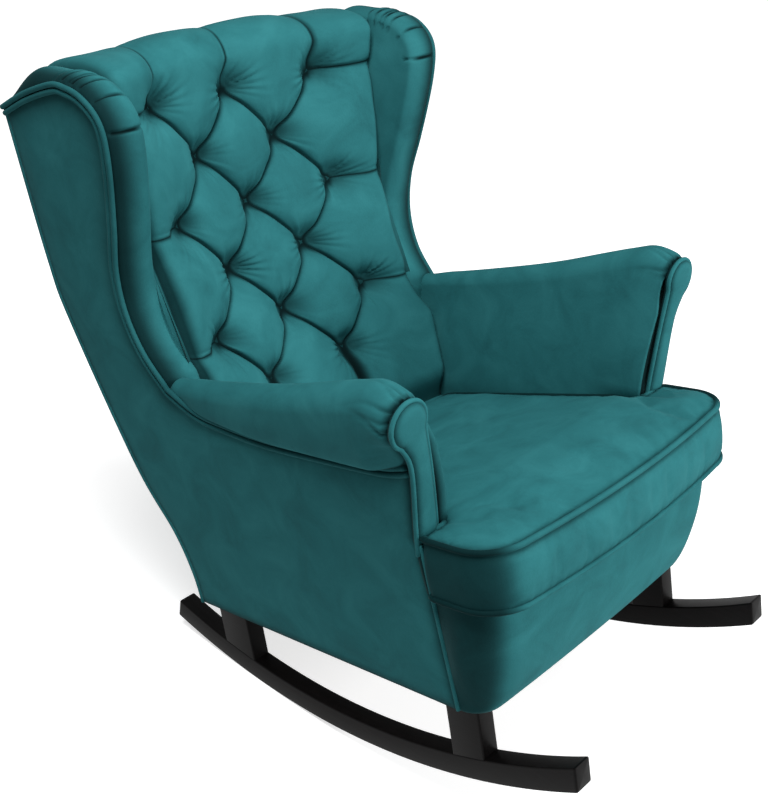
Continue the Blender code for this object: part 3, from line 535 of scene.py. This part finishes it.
def frontBorder():
    profile = stepped(smooth(raised(border["line"], body["seamY"]), 10), 0.007)
    levels = [(body["z"] + h, t) for h, t in border["tucks"]] + [(z, 0.0) for z in profile[1:, 1]]
    seam = body["seamY"] - body["gap"]
    rings, shade = [], []
    for z, tuck in levels:
        front = yAt(profile, z)
        rise = (z - body["z"]) / border["line"][-1][1]
        swell = border["swell"] * sin(pi * min(max(rise, 0.0), 1.0)) - tuck
        x = sideX(z)
        r = min(border["corner"], body["seamY"] - front - 0.001)
        bend = arc((x - r, front + r), r, 0, -90, 16)
        half = np.vstack([[(x, seam)], bend,
                          [((x - r) * t, front - border["bow"] * (1 - t * t)) for t in np.linspace(0.92, 0.0, 13)]])
        ring = np.vstack([half, (half[:-1] * (-1, 1))[::-1]])
        out = squareTo(ring)
        share = np.minimum(1.0, np.abs(ring[:, 1] - body["seamY"]) / border["swellRun"])[:, None]
        ring = ring + out * swell * (share if swell > 0 else 1)
        inside = sideX(z, border["innerX"])
        inner = [(-inside, seam), (-inside, border["innerY"]), (inside, border["innerY"]), (inside, seam)]
        # painted shade on the corners, where the border faces sideways
        shade.append(np.append(sideShade(out[:, 0]), np.zeros(len(inner))))
        ring = np.vstack([ring, inner])
        rings.append(columns(ring, np.full(len(ring), z)))
    points, faces = loft(rings)
    return points, faces, np.append(np.concatenate(shade), (0.0, 0.0))


addPiece("frontBorder", frontBorder(), ["front_border"], 0.5)
print("front border")

# Rolled arms with gathers behind the facing; the roll thins and closes in towards the wing
arm = {"rollX": 0.32, "rollZ": 0.632, "radius": 0.036, "rearX": 0.292, "rearRadius": 0.02, "panel": 0.0086,
       "boardTop": 0.586, "lap": 0.008, "inside": [(0.252, 0.3559), (0.262, 0.48), (0.27, 0.55)],
       "insideSwell": 0.008, "strip": 0.017, "lip": 0.0075, "riseRun": 0.05, "fillRun": 0.06, "turnDown": 0.005,
       "gathers": [172, 148, 121, 96, 70, 41, 12, -18], "gatherDepth": 0.004, "gatherRun": 0.026,
       "gatherWidth": 0.0032, "gatherWander": 500, "gatherDark": 0.75, "puff": 0.002, "tailTop": 0.59,
       "endTurn": [(0.012, 0.98), (0.023, 0.86), (0.029, 0.5)]}  # how far in under the wing, and shrunk to what
armTop = smooth(raised([(-0.3, 0.513), (-0.262, 0.528), (-0.18, 0.513), (-0.05, 0.482), (0.1, 0.459),
                        (0.22, 0.446)]), 10)
wingFoot = np.array([yAt(wingFront, 0.6), 0.6])
armRearY = wingFoot[0] - 0.032
armLength = armRearY - body["seamY"]


def armSection(y):
    far = y - body["seamY"]
    way = far / armLength
    radius = arm["radius"] + (arm["rearRadius"] - arm["radius"]) * way
    high = zAt(armTop, y) - radius
    middle = np.array([arm["rollX"] + (arm["rearX"] - arm["rollX"]) * way,
                       arm["rollZ"] + (high - arm["rollZ"]) * ramp(far, 0.0, arm["riseRun"])])
    hook = zAt(armWelt, y) + arm["lap"]
    end = np.array([sideX(hook) + 0.002, hook])
    turn = np.linspace(0, 1, 25)[1:]
    full = columns(end[0] + (middle[0] + radius - end[0]) * np.cos(turn * pi / 2) ** 0.75,
                   middle[1] - (middle[1] - hook) * np.sin(turn * pi / 2))
    head = arc(middle, radius, 0, -60, 13)[1:]
    neck = np.vstack([head, head[-1] + (end - head[-1]) * np.linspace(0, 1, 13)[1:, None]])
    roll = np.vstack([arc(middle, radius, 166, 0, 42), neck + (full - neck) * ramp(far, 0.0, arm["fillRun"])])
    inner = smooth(arm["inside"] + [tuple(roll[0])], 9)[:-1]
    top = max(arm["boardTop"] if way < 0.8 else 0.0, hook + 0.001)
    hidden = [(sideX(hook, body["cover"]), hook), (sideX(top, body["cover"]), top), (sideX(top, body["pocket"]), top),
              (sideX(body["deckZ"], body["pocket"]), body["deckZ"] + 0.001)]
    return inner, roll, np.array(hidden), middle, radius


def armPad():
    rings, shade = [], []
    for s in np.concatenate([np.linspace(0, 0.3, 44), np.linspace(0.31, 1, 44)]):
        far = s * armLength
        inner, roll, rest, middle, radius = armSection(body["seamY"] + far)
        first = len(inner)
        on = slice(first, first + len(roll))
        fade = 1 - ramp(inner[:, 1], middle[1] - 0.16, middle[1] + 0.01)
        swell = arm["insideSwell"] * ramp(inner[:, 1], 0.36, 0.42) * fade
        swell += arm["strip"] * ramp(inner[:, 1], 0.43, 0.455) * fade ** 0.5 * ramp(far, -0.02, 0.008) * (
            1 - ramp(far, 0.012, 0.12))
        inner[:, 0] -= swell
        angle = np.degrees(np.arctan2(roll[:, 1] - middle[1], roll[:, 0] - middle[0]))
        pull = 0
        for k, g in enumerate(arm["gathers"]):
            aside = (angle - g - arm["gatherWander"] * far * sin(2 * k)) * pi / 180 * radius
            pull = pull + (1 + 0.3 * sin(3 * k)) * np.exp(-(aside / arm["gatherWidth"]) ** 2)
        pull = pull * np.exp(-far / arm["gatherRun"])
        puff = arm["puff"] * (ramp(far, 0.0, 0.02) - ramp(far, armLength - 0.05, armLength))
        puff = puff * (1 - ramp(angle, 100, 160))
        edge = nearSeam(far, arm["turnDown"], arm["turnDown"])  # turns down into the facing's seam
        roll = middle + (roll - middle) * (1 + ((puff - arm["gatherDepth"] * pull - edge) / radius)[:, None])
        xz = np.vstack([inner, roll, rest])
        frontY = armFrontY(xz[:, 1]) + arm["panel"]
        frontY[:first] -= arm["lip"] * ramp(inner[:, 1], 0.4, 0.44) * (1 - ramp(inner[:, 1], 0.58, 0.62))
        rearY = np.maximum(armRearY, yAt(wingFront, xz[:, 1]) - 0.034)
        rings.append(columns(xz[:, 0], frontY + (rearY - frontY) * s, xz[:, 1]))
        # painted shade in the gathers, at the roll's end and along the front seam
        dark = np.zeros(len(xz))
        dark[on] = arm["gatherDark"] * np.clip(pull, 0, 1) ** 2
        dark[on.stop - 3:] = 0.8
        line = np.full(len(xz), nearSeam(far, 0.005))
        line[:first] *= 0.15
        shade.append(np.maximum(dark, line))
    turnedIn = rings[0].copy()
    turnedIn[:first] += np.array([0.011, 0.005, 0.0]) * ramp(inner[:, 1], 0.43, 0.45)[:, None]
    rings.insert(0, turnedIn)
    # painted shade on the edge turned in behind the facing
    shade.insert(0, np.full(len(turnedIn), 0.95))
    whole, centre = rings[-1], middle - (0.006, 0.004)
    for tuck, shrink in arm["endTurn"]:
        turned = whole + (0, tuck, 0)
        turned[on, ::2] = centre + (whole[on, ::2] - centre) * shrink
        rings.append(turned)
    top, count = arm["tailTop"], len(whole)
    tail = np.zeros((count, 2))
    tail[:first, 0] = inner[:, 0]
    tail[:first, 1] = np.minimum(inner[:, 1], top - 0.0005 * np.arange(first, 0, -1))
    t = np.linspace(0, 1, count - first - 1)
    low = tail[first - 1, 0] + 0.001
    tail[first:-1, 0] = low + (sideX(top, body["pocket"]) - low) * t
    tail[first:-1, 1] = top
    tail[-1] = (sideX(body["deckZ"], body["pocket"]), body["deckZ"] + 0.001)
    for y in (armRearY + 0.022, 0.28, yAt(stileFront, 0.4) - 0.004):
        rings.append(columns(tail[:, 0], np.full(count, y), tail[:, 1]))
    points, faces = loft(rings)
    dark = np.zeros(len(points))
    dark[:len(shade) * count] = np.concatenate(shade)
    dark[-2] = 1.0  # painted shade behind the facing
    return points, faces, dark


# Facing: keyhole panel at the arm's front, edged in piping
facing = {"inside": [(-0.01, 0.1985), (-0.0095, 0.23), (-0.009, 0.262), (-0.008, 0.287), (-0.004, 0.322),
                     (0.007, 0.392)],
          "outside": [(0.0445, 0.402), (0.0345, 0.312), (0.032, 0.287), (0.0285, 0.262), (0.025, 0.23),
                      (0.0205, 0.1985)],
          "swell": 0.009, "swellRun": 0.006, "swellFrom": (0.43, 0.456), "thickness": 0.007, "headInset": 0.004,
          "step": 0.004, "seam": 0.005, "piping": 0.0034, "pipedFrom": 0.42}


def facingEdge():
    inset = facing["headInset"]
    roll = arc((arm["rollX"], arm["rollZ"] - inset), arm["radius"] - inset, 200, -65, 40)
    return np.vstack([smooth(np.vstack([raised(facing["inside"], body["halfWidth"]), roll[:1]]), 8)[:-1], roll,
                      smooth(np.vstack([roll[-1:], raised(facing["outside"], body["halfWidth"])]), 8)[1:]])


def facingPanel():
    outline = stepped(facingEdge(), facing["step"], True)
    xz, faces, far = filled(outline, facing["step"])
    thick = facing["thickness"]
    rear = columns(xz[:, 0], armFrontY(np.maximum(xz[:, 1], cover["armFootZ"])) + thick, xz[:, 1])
    swell = facing["swell"] * (1 - np.exp(-far / facing["swellRun"]))
    swell *= ramp(xz[:, 1], *facing["swellFrom"])  # flat behind the cushion
    points, faces = slab(faces, len(outline), rear, rear - columns(swell * 0, thick + swell, swell * 0))
    # painted shade along the facing's edge
    return points, faces, np.tile(nearSeam(far, facing["seam"]), 2)


def facingPiping():
    line = stepped(facingEdge(), facing["step"])
    line = line[line[:, 1] > facing["pipedFrom"]]
    loop = columns(line[:, 0], armFrontY(line[:, 1]) + 0.0005, line[:, 1])
    z = np.linspace(0.44, body["z"] + 0.002, 40)
    down = columns(sideX(z, -0.001), np.full(40, body["seamY"] - 0.0005), z)
    return tube(stepped(np.vstack([loop, down]), 0.005), facing["piping"])


addPairs(("armPad", armPad(), "arm_pad", 0.8), ("armFacing", facingPanel(), "arm_front_panel", 0.5),
         ("facingPiping", facingPiping(), None, None))
print("arms")

# Wings: padding inside the board, rolled round its front and over the top, gathered at the corner
wing = {"roll": 0.0315, "rollDepth": 0.0305, "inside": 0.074, "lift": 0.017, "corner": 0.019, "crest": 0.034,
        "end": 0.015, "step": 0.0018, "gathers": [-0.121, -0.079, -0.049, -0.034, -0.026, -0.012, 0.004],
        "gatherDepth": 0.0046, "gatherWidth": 0.0023, "gatherRun": 0.006, "sideShade": 0.85, "fillStep": 0.008,
        "insideRun": 0.08, "rearEdge": 0.005, "full": 0.004, "fullZ": 0.785, "fullRun": 0.04}


def wingPad():
    foot = np.array([(wingFoot[0] - 0.006, wingFoot[1] - 0.042), wingFoot])
    seam = stepped(np.vstack([foot, wingWelt[wingWelt[:, 1] > 0.603]]), wing["step"])
    z = np.linspace(1.0, foot[0, 1], 60)
    outline = np.vstack([seam, columns(yAt(stileFront, z) - 0.005, z)])
    count, size = len(seam), len(outline)
    rest = np.zeros(size - count)
    out = np.vstack([squareTo(seam, 8), columns(rest, rest)])
    run = np.arange(count) * np.linalg.norm(seam[1] - seam[0])
    run -= run[np.argmax(seam[:, 1])]  # from the highest point of the welt
    onTop = np.clip(run / run[-1], 0, 1)
    rise = wing["lift"] + (wing["corner"] - wing["lift"]) * ramp(run, -0.14, -0.03)
    rise += (wing["crest"] - rise) * ramp(onTop, 0.0, 0.4)
    rise += (wing["end"] - rise) * ramp(onTop, 0.4, 1.0)
    rise += nearSeam(seam[:, 1] - wing["fullZ"], wing["fullRun"], wing["full"])
    rise *= 0.6 + 0.4 * ramp(run - run[0], 0.0, 0.03)
    lift = np.append(rise, rest)
    pull = sum((1 + 0.25 * sin(5 * k)) * np.exp(-((run - g) / wing["gatherWidth"]) ** 2)
               for k, g in enumerate(wing["gathers"]))
    pull = np.append(pull, rest)

    yz, faces, far = filled(outline, wing["fillStep"])
    nearest = np.argmin(np.linalg.norm(yz[:, None] - outline[None], axis=2), axis=1)
    drawn = pull[nearest] * np.exp(-far / wing["gatherRun"])
    depth = wing["rollDepth"] + wing["roll"]
    depth = depth + (wing["inside"] - depth) * ramp(far, 0.0, wing["insideRun"]) - wing["gatherDepth"] * drawn
    sheets = onSide(yz, body["pocket"]), onSide(yz, depth)
    edge = np.where(np.arange(size) < count, 0.0, wing["rearEdge"])
    # painted shade on the first ring, along the welt and the back's seam
    rings, shade = [onSide(outline + out * 0.001, edge)], [np.full(size, 0.8)]
    for t in np.radians(np.linspace(4, 176, 30)):
        groove = wing["gatherDepth"] * pull * ramp(t, 0.2, 0.7) * (1 - 0.5 * ramp(t, 1.6, 2.6))
        depth = wing["rollDepth"] - (wing["roll"] - groove) * cos(t)
        rolled = outline + out * (np.maximum(lift - groove, lift * 0.3) * sin(t) ** 0.8)[:, None]
        rings.append(onSide(rolled, np.maximum(depth, edge - (edge == 0))))
        # painted shade in the gathers, on the roll's welt side and along the welt
        crease = 0.97 * np.clip(1.4 * pull, 0, 1) * ramp(t, 0.2, 0.6) * (1 - ramp(t, 1.9, 2.9))
        rollShade = wing["sideShade"] * (1 - ramp(t, 0.7, 2.1))  # painted shade on the roll's half next to the welt
        shade.append(np.maximum(np.maximum(nearSeam(t, 0.5), rollShade), crease))
    points, faces = slab(faces, size, *sheets, rings)
    return points, faces, np.concatenate([np.zeros(2 * len(yz)), *shade])


# Inside back: deep diamond tufts drawn down by buttons, rolled over the top rail
back = {"hollow": 0.029, "reach": 0.172, "halfPitch": 0.086, "rowPitch": 0.0955, "topRow": 1.0015, "rows": 6,
        "pillow": 0.037, "dimple": 0.02, "cells": 40, "sag": 0.95, "fullness": 0.29,
        "crownZ": 1.05, "crown": 0.054, "rearDrop": 0.42, "rearGap": 0.004, "footZ": 0.3655, "wrinkle": 0.003,
        "lean": 0.24, "droop": 0.08, "pleatRun": 0.05, "pleatFill": 0.62, "pleatLine": 0.0028, "shoulder": 0.01,
        "under": 0.005, "underArm": 0.013, "flank": 0.03, "flankArm": 0.01, "tuck": 0.006, "tuckRun": 0.01,
        "lump": 0.045, "lumpDepth": 0.0016, "seam": 0.011, "pitShade": (0.009, 0.003), "pitShadeWidth": 0.022,
        "buttonDark": 0.016, "wrinkleRun": 0.04}
lowestRow = back["topRow"] - (back["rows"] - 1) * back["rowPitch"]
buttons = [(c * back["halfPitch"], back["topRow"] - r * back["rowPitch"])
           for r in range(back["rows"]) for c in ((-2, 0, 2) if r % 2 == 0 else (-1, 1))]


def seatY(x, z):
    hollow = back["hollow"] * (0.35 + 0.65 * ramp(z, 0.364, 0.588))
    return yAt(backLine, z) - hollow * (x / back["reach"]) ** 2


def backHalfWidth(z):
    under = back["underArm"] + (back["under"] - back["underArm"]) * ramp(z, 0.62, 0.72)
    wings = sideX(np.maximum(z, 0.6), wing["inside"] - under)  # the edge is pushed under the wing
    line = np.array(arm["inside"])
    arms = np.interp(z, line[:, 1], line[:, 0]) - 0.001 - arm["insideSwell"] * ramp(z, 0.36, 0.42)
    return arms + (wings - arms) * ramp(z, 0.54, 0.588)


def tuftHeight(x, z):
    u = np.clip(x, -back["reach"], back["reach"]) / back["halfPitch"]
    v = (np.clip(z, lowestRow, back["topRow"]) - back["topRow"]) / back["rowPitch"]
    a, b = (u + v) / 2, (u - v) / 2
    a, b = a - np.floor(a), b - np.floor(b)
    full = np.sin(pi * a ** back["sag"]) * np.sin(pi * (1 - (1 - b) ** back["sag"]))
    aside, above = np.maximum(0.0, np.abs(x) - back["reach"]), np.maximum(0.0, z - back["topRow"])
    corner = np.sin(pi / 2 * np.minimum(1.0, aside / 0.08)) * np.sin(pi / 2 * np.minimum(1.0, above / 0.08))
    beyond = np.minimum(1.0, np.maximum(aside, above) / back["pleatRun"])
    pillow = np.maximum(np.maximum(full, corner), 1e-9) ** (back["fullness"] * (1 - 0.6 * beyond))
    pillow = np.maximum(pillow, back["pleatFill"] * beyond)  # pleats to the sides and over the top grow shallow
    near, pitShade, wrinkle = np.full(x.shape, 9.0), np.zeros(x.shape), np.zeros(x.shape)
    for k, (bx, bz) in enumerate(buttons):
        r = np.hypot(x - bx, z - bz)
        near = np.minimum(near, r)
        # painted shade in each pit, set off up and to the right of the button
        beside = np.hypot(x - bx - back["pitShade"][0], z - bz - back["pitShade"][1])
        pitShade = np.maximum(pitShade, nearSeam(beside, back["pitShadeWidth"], 1))
        way = np.arctan2(z - bz, x - bx)
        foldAndShade = np.cos(17 * way + 2.1 * k + 3 * np.sin(2 * way)) + 0.8 * np.cos(25 * way + 1.3 * k)
        foldAndShade *= 0.55 + 0.45 * np.sin(2 * way + k)
        wrinkle += back["wrinkle"] * foldAndShade * nearSeam(r, back["wrinkleRun"], 1) * np.clip((r - 0.008) / 0.012, 0, 1)
    drawn = 1 - np.exp(-(np.maximum(0.0, near - 0.007) / back["dimple"]) ** 2)
    free = ramp(z, 0.37, 0.45)
    height = (back["pillow"] * pillow * (0.1 + 0.9 * drawn) + wrinkle) * free
    apart = np.where(beyond > 0, np.sqrt(np.maximum(full, 0.0)) * 0.055, full * 0.041)  # distance from a pleat
    apart = np.where(corner > 0, corner * 0.051, apart)
    # painted shade along the pleats and round the buttons
    dark = np.maximum(nearSeam(apart, back["pleatLine"], 0.97), nearSeam(near, back["buttonDark"], 0.97))
    dark = np.maximum(dark, 0.75 * pitShade) * free
    return height, dark


def insideBack():
    cells = back["cells"]
    across = np.linspace(-2, 2, 4 * cells + 1) * back["halfPitch"]
    outer = np.arange(1, 19) / 18
    parts = [(back["footZ"], lowestRow, 42), (lowestRow, back["topRow"], 5 * cells),
             (back["topRow"], back["crownZ"], 14)]  # below the buttons, among them and above them
    zFront = np.concatenate([np.linspace(*part, endpoint=False) for part in parts])
    turn = np.radians(np.linspace(0, 180, 46))
    half = backHalfWidth(np.append(zFront, back["crownZ"] + back["crown"] * np.sin(np.minimum(turn, pi / 2))))
    wide = half - back["reach"]
    left = -back["reach"] - outer[::-1][:, None] * wide[None]
    x = np.vstack([left, np.repeat(across[:, None], len(half), axis=1), -left[::-1]])
    z = np.tile(np.append(zFront, np.full(len(turn), back["crownZ"])), (len(x), 1))
    height, dark = tuftHeight(x, z)
    edge = half[None] - np.abs(x)
    flank = back["flankArm"] + (back["flank"] - back["flankArm"]) * ramp(z, 0.6, 0.7)
    height *= 0.1 + 0.9 * np.sqrt(1 - (1 - np.minimum(1.0, edge / flank)) ** 2)  # rounds off into the seam
    tuck = nearSeam(edge, back["tuckRun"], back["tuck"])
    over = height * ramp(edge, 0.0, 0.04)  # each tuft lies over the pleat beside and below it
    base = seatY(x, z)
    up = len(zFront)
    uneven = lumps(np.stack([x, z, base * 0], axis=2).reshape(-1, 3), back["lump"], back["lumpDepth"], 5.0)
    y = base - height + tuck + uneven.reshape(x.shape)
    aside = np.minimum(1.0, np.abs(x[:, -1:]) / sideX(back["crownZ"]))
    rear = wingWelt[-1, 0] - back["rearGap"] + cover["backCrown"] * np.sqrt(1 - aside ** 2)
    crest = (seatY(0.0, back["crownZ"]) + wingWelt[-1, 0]) / 2
    fade = np.cos(np.clip(turn * 0.55, 0, pi / 2)) ** 2
    roundUp = back["crown"] * (np.sin(turn) - back["rearDrop"] * (turn / pi) ** 3)
    frontY = y[:, up:]
    rollY = np.where(turn < pi / 2, crest + (frontY - crest) * np.cos(turn), crest - (rear - crest) * np.cos(turn))
    lift = (height[:, up:] - 0.02) * np.sin(turn) * fade * 0.55 - tuck[:, up:] * np.sin(turn) * 0.4
    lift -= back["shoulder"] * ramp(np.abs(x[:, up:]), 0.09, 0.24) * np.sin(turn)
    x = x + back["lean"] * over
    z = z - back["droop"] * over
    y[:, up:] = rollY
    z[:, up:] = back["crownZ"] + roundUp + lift
    rearZ = np.array([1.02, 0.9, 0.7, 0.5, back["footZ"]])
    rearY = yAt(stileFront, rearZ) - back["rearGap"]
    rearX = np.sign(x[:, :1]) * np.minimum(np.abs(x[:, :1]), backHalfWidth(rearZ)[None])
    hidden = np.zeros((len(x), len(rearZ)))
    rings = [np.hstack([x, rearX]), np.hstack([y, hidden + rearY]), np.hstack([z, hidden + rearZ])]
    points, faces = loft(np.stack(rings, axis=2), np.hstack([height, hidden]))
    # painted shade along the side seams, fading over the top roll
    dark = np.maximum(dark, nearSeam(edge, back["seam"]))
    dark[:, up:] *= fade
    return points, faces, np.append(np.hstack([dark, hidden]), (0.0, 0.0))


# A covered button, drawn in square to the back
button = {"radius": 0.0092, "rise": 0.006, "sink": 0.006, "sides": 28, "pleat": 0.025, "dark": 0.75,
          "shape": [(0.3, 1.0), (0.58, 0.93), (0.8, 0.76), (0.94, 0.5), (1.0, 0.18), (0.9, -0.15)]}


def backButton(x, z):
    step = 0.01
    dz = (seatY(x, z + step) - seatY(x, z - step)) / (2 * step)
    dx = (seatY(x + step, z) - seatY(x - step, z)) / (2 * step)
    out = Vector((dx, -1.0, dz)).normalized()
    turn = out.to_track_quat("Z", "Y").to_matrix()
    centre = Vector((x, seatY(x, z) + button["sink"], z))
    rings = []
    for r, h in button["shape"]:
        ring = []
        for k in range(button["sides"]):
            a = 2 * pi * k / button["sides"]
            pleat = 1 - button["pleat"] * (k % 2) * (r > 0.9)
            spot = Vector((cos(a) * r * pleat * button["radius"], sin(a) * r * pleat * button["radius"],
                           h * button["rise"]))
            ring.append(centre + turn @ spot)
        rings.append(ring)
    points, faces = loft(rings)
    points[-2] = centre + turn @ Vector((0, 0, button["rise"] * 1.02))
    # painted shade over the whole button, sunk in its pit
    return points, faces, np.full(len(points), button["dark"])


addPairs(("wingPad", wingPad(), "wing_pad", 0.8))
addPiece("tuftedBack", insideBack(), ["inside_back_pad"], 0.85)
for k, (x, z) in enumerate(buttons, 1):
    addPiece(f"coveredButton_{k:02d}", backButton(x, z), [f"back_button_{k:02d}"], 0.9)
print("wings and tufted back")

# Welts: two cords side by side along the arm and wing, and piping down the back's side seams
welt = {"radius": 0.0043, "apart": 0.0098, "stand": 0.0045, "step": 0.005, "dark": 0.3, "backRadius": 0.0042,
        "backStep": 0.008, "backSink": 0.001}


def sideWelts():
    path = stepped(np.vstack([armWelt[:-1], wingWelt]), welt["step"])
    out = squareTo(path, 6)
    cords = []
    for k in (-0.5, 0.5):
        line = path + out * k * welt["apart"]
        cords.append(tube(onSide(line, -welt["stand"]), welt["radius"]))
    points, faces = together(cords)
    # painted shade over both cords
    return points, faces, np.full(len(points), welt["dark"])


def backPiping():
    line = stepped(rearLine, welt["backStep"])
    return tube(onSide(line, welt["backSink"]), welt["backRadius"])


addPairs(("doubleWelt", sideWelts(), None, None), ("backPiping", backPiping(), None, None))
print("welts and piping")

# Seat cushion: T-shaped box cushion with a crowned top and piping on both edges
cushion = {"frontY": -0.4065, "bow": 0.014, "earX": 0.3, "earY": -0.259, "earCorner": 0.008, "tongueX": 0.245,
           "rearY": 0.178, "rearBow": 0.016, "corner": 0.07, "rearCorner": 0.03, "base": 0.3552, "baseEdge": 0.003,
           "top": 0.4492, "fall": 0.063, "crown": 0.013, "crownRun": 0.055, "lump": 0.09, "lumpDepth": 0.003,
           "boxSwell": 0.005, "swellCap": 0.012, "piping": 0.0042, "inset": 0.003, "step": 0.007}


def cushionPlan(inset):
    c = cushion
    r, ear, front = c["corner"] - inset, c["earX"] - inset, c["frontY"] + c["bow"] + inset
    bow = [(t * (ear - r), front - c["bow"] * (1 - t * t)) for t in np.linspace(0, 0.95, 12)]
    tongue, rear, rr = c["tongueX"] - inset, c["rearY"] - inset, c["rearCorner"]
    e, earY = c["earCorner"], c["earY"] - inset
    rearEdge = [(t * (tongue - rr), rear + c["rearBow"] * (1 - t * t)) for t in np.linspace(0.95, 0, 10)]
    half = np.vstack([bow, arc((ear - r, front + r), r, -90, 0, 16),
                      arc((ear - e, earY - e), e, 0, 90, 5), arc((tongue + e, earY + e), e, 270, 180, 4),
                      arc((tongue - rr, rear - rr), rr, 0, 90, 8), rearEdge])
    return stepped(np.vstack([half, (half[1:-1] * (-1, 1))[::-1]]), c["step"], True)


# Height of the top edge, which falls towards the back
def cushionTop(y):
    way = (y - cushion["earY"]) / (cushion["rearY"] - cushion["earY"])
    return cushion["top"] - cushion["fall"] * np.clip(way, 0, 1)


def cushionBody():
    c = cushion
    outline = cushionPlan(c["inset"])
    xy, faces, far = filled(outline, c["step"])
    base = columns(xy, c["base"] + c["baseEdge"] * (1 - np.minimum(1.0, far / 0.01)))
    rise = c["crown"] * (1 - np.exp(-far / c["crownRun"]))
    uneven = lumps(columns(xy, xy[:, 0] * 0), c["lump"], c["lumpDepth"], 9.0)
    rise += uneven * np.minimum(1.0, far / 0.05)
    out = -squareTo(outline, closed=True)
    foot = c["base"] + c["baseEdge"]
    rings, shade = [], []
    for t in np.linspace(0.06, 0.94, 13):
        side = outline + out * c["boxSwell"] * sin(pi * t) ** 0.7
        rings.append(columns(side, foot + (cushionTop(side[:, 1]) - foot) * t))
        # painted shade on the box beside both pipings and round the corners
        shade.append(np.maximum(nearSeam(min(t, 1 - t), 0.09), sideShade(out[:, 0])))
    points, faces = slab(faces, len(outline), base, columns(xy, cushionTop(xy[:, 1]) + rise), rings)
    # painted shade on the top along the piping
    return points, faces, np.concatenate([np.zeros(len(xy)), nearSeam(far, 0.006), *shade])


def cushionPiping():
    c = cushion
    outline = cushionPlan(c["inset"] - 0.0015)
    low = np.full(len(outline), c["base"] + c["piping"] + 0.0006)
    # painted shade along the piping, deeper round the corners
    dark = 0.15 + sideShade(squareTo(outline, closed=True)[:, 0])
    loops = [tube(columns(outline, z), c["piping"], True) for z in (low, cushionTop(outline[:, 1]))]
    points, faces = together(loops)
    return points, faces, np.tile(np.repeat(dark, 10), 2)


addPiece("seatCushion", cushionBody(), ["seat_cushion"], 0.75, rider="cushion", cap=cushion["swellCap"])
addPiece("cushionPiping", cushionPiping(), rider="cushion")
print("cushion")

# Inner solids keep their CAD shape and get their own finish
innerFinish = {"rail": frameBeech, "stile": frameBeech, "corner_block": frameBeech, "board": birchPly,
               "bolt": springSteel, "spring": springSteel, "deck": greyFelt, "webbing": darkLining,
               "dust_cover": darkLining}
for name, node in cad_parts.items():
    for word, finish in innerFinish.items():
        if word in name:
            node.data.materials.clear()
            node.data.materials.append(finish)
print("inner solids finished")

# Camera at the photograph's angle
camera = {"place": (-1.2864, -1.2835, 1.1832), "ahead": (0.6425, 0.6015, -0.475), "lens": 54.41, "sensor": 36.0}


def aimed(ahead):
    return Vector(ahead).to_track_quat("-Z", "Y").to_euler()


cameraData = bpy.data.cameras.new("studioCamera")
cameraData.lens = camera["lens"]
cameraData.sensor_width = camera["sensor"]
cameraObject = inScene("studioCamera", cameraData)
cameraObject.location = stand([camera["place"]])[0]
cameraObject.rotation_euler = aimed(camera["ahead"])
scene.camera = cameraObject

# Soft studio light: a large key from the right front, one from above, and an even surround
lamps = {"key": ((1.3, -3.0, 1.4), 1.0, 115.0), "top": ((-0.9, -0.5, 3.0), 1.2, 93.0)}
for name, (place, size, power) in lamps.items():
    light = bpy.data.lights.new(name + "Lamp", "AREA")
    light.size, light.energy = size, power
    lamp = inScene(name + "Lamp", light)
    lamp.location = place
    lamp.rotation_euler = aimed(Vector((0, 0, 0.5)) - Vector(place))


# How far a ray comes straight from the eye, a mirror or glass; only those see the white
def seenDirectly(tree):
    rays = addNode(tree, "LightPath").outputs
    seen = rays["Is Camera Ray"]
    for kind in ("Is Glossy Ray", "Is Transmission Ray"):
        seen = addNode(tree, "Math", {"operation": "MAXIMUM"}, {0: seen, 1: rays[kind]})
    return seen


surround = {"ambient": "#c9cccd", "strength": 0.26}
world = bpy.data.worlds.new("studioSurround")
scene.world = world
world.use_nodes = True
tree = world.node_tree
tree.nodes.clear()
ambient = addNode(tree, "Background", {"Color": hexColour(surround["ambient"]), "Strength": surround["strength"]})
white = addNode(tree, "Background", {"Color": (1, 1, 1, 1), "Strength": 1.0})
mixed = addNode(tree, "MixShader", None, {0: seenDirectly(tree), 1: ambient, 2: white})
addNode(tree, "OutputWorld", None, {"Surface": mixed})

# Pale floor that keeps the shadow
floor = {"tones": ("#d9d9d9", "#dddddd"), "mark": 0.4, "roughness": 0.95, "glow": 0.66, "farGlow": 1.0,
         "fade": (0.9, 1.9), "reach": 14.0}
floorMat, tree, shader, place = newMaterial("paleFloor", {
    "Roughness": floor["roughness"], "Specular IOR Level": 0.0, "Emission Color": (1, 1, 1, 1)})
grit = addNode(tree, "TexNoise", {"Scale": 1 / floor["mark"], "Detail": 2.0}, {"Vector": place})
tone = addNode(tree, "ValToRGB", None, {"Fac": grit}, [(0.3, floor["tones"][0]), (0.7, floor["tones"][1])])
tree.links.new(tone.outputs[0], shader.inputs["Base Color"])
far = addNode(tree, "VectorMath", {"operation": "LENGTH"}, {0: place})
fading = addNode(tree, "MapRange", {"From Min": floor["fade"][0], "From Max": floor["fade"][1],
                                    "To Min": floor["glow"], "To Max": floor["farGlow"]},
                 {"Value": far.outputs["Value"]})  # white beyond the shadow
glow = addNode(tree, "Math", {"operation": "MULTIPLY"}, {0: seenDirectly(tree), 1: fading})
tree.links.new(glow.outputs[0], shader.inputs["Emission Strength"])
floorData = bpy.data.meshes.new("studioFloor")
r = floor["reach"]
floorData.from_pydata([(-r, -r, 0), (r, -r, 0), (r, r, 0), (-r, r, 0)], [], [(0, 1, 2, 3)])
floorData.materials.append(floorMat)
floorObject = inScene("studioFloor", floorData)
scene.view_settings.view_transform = "Standard"
print("camera, lamps and floor")

bpy.context.view_layer.update()
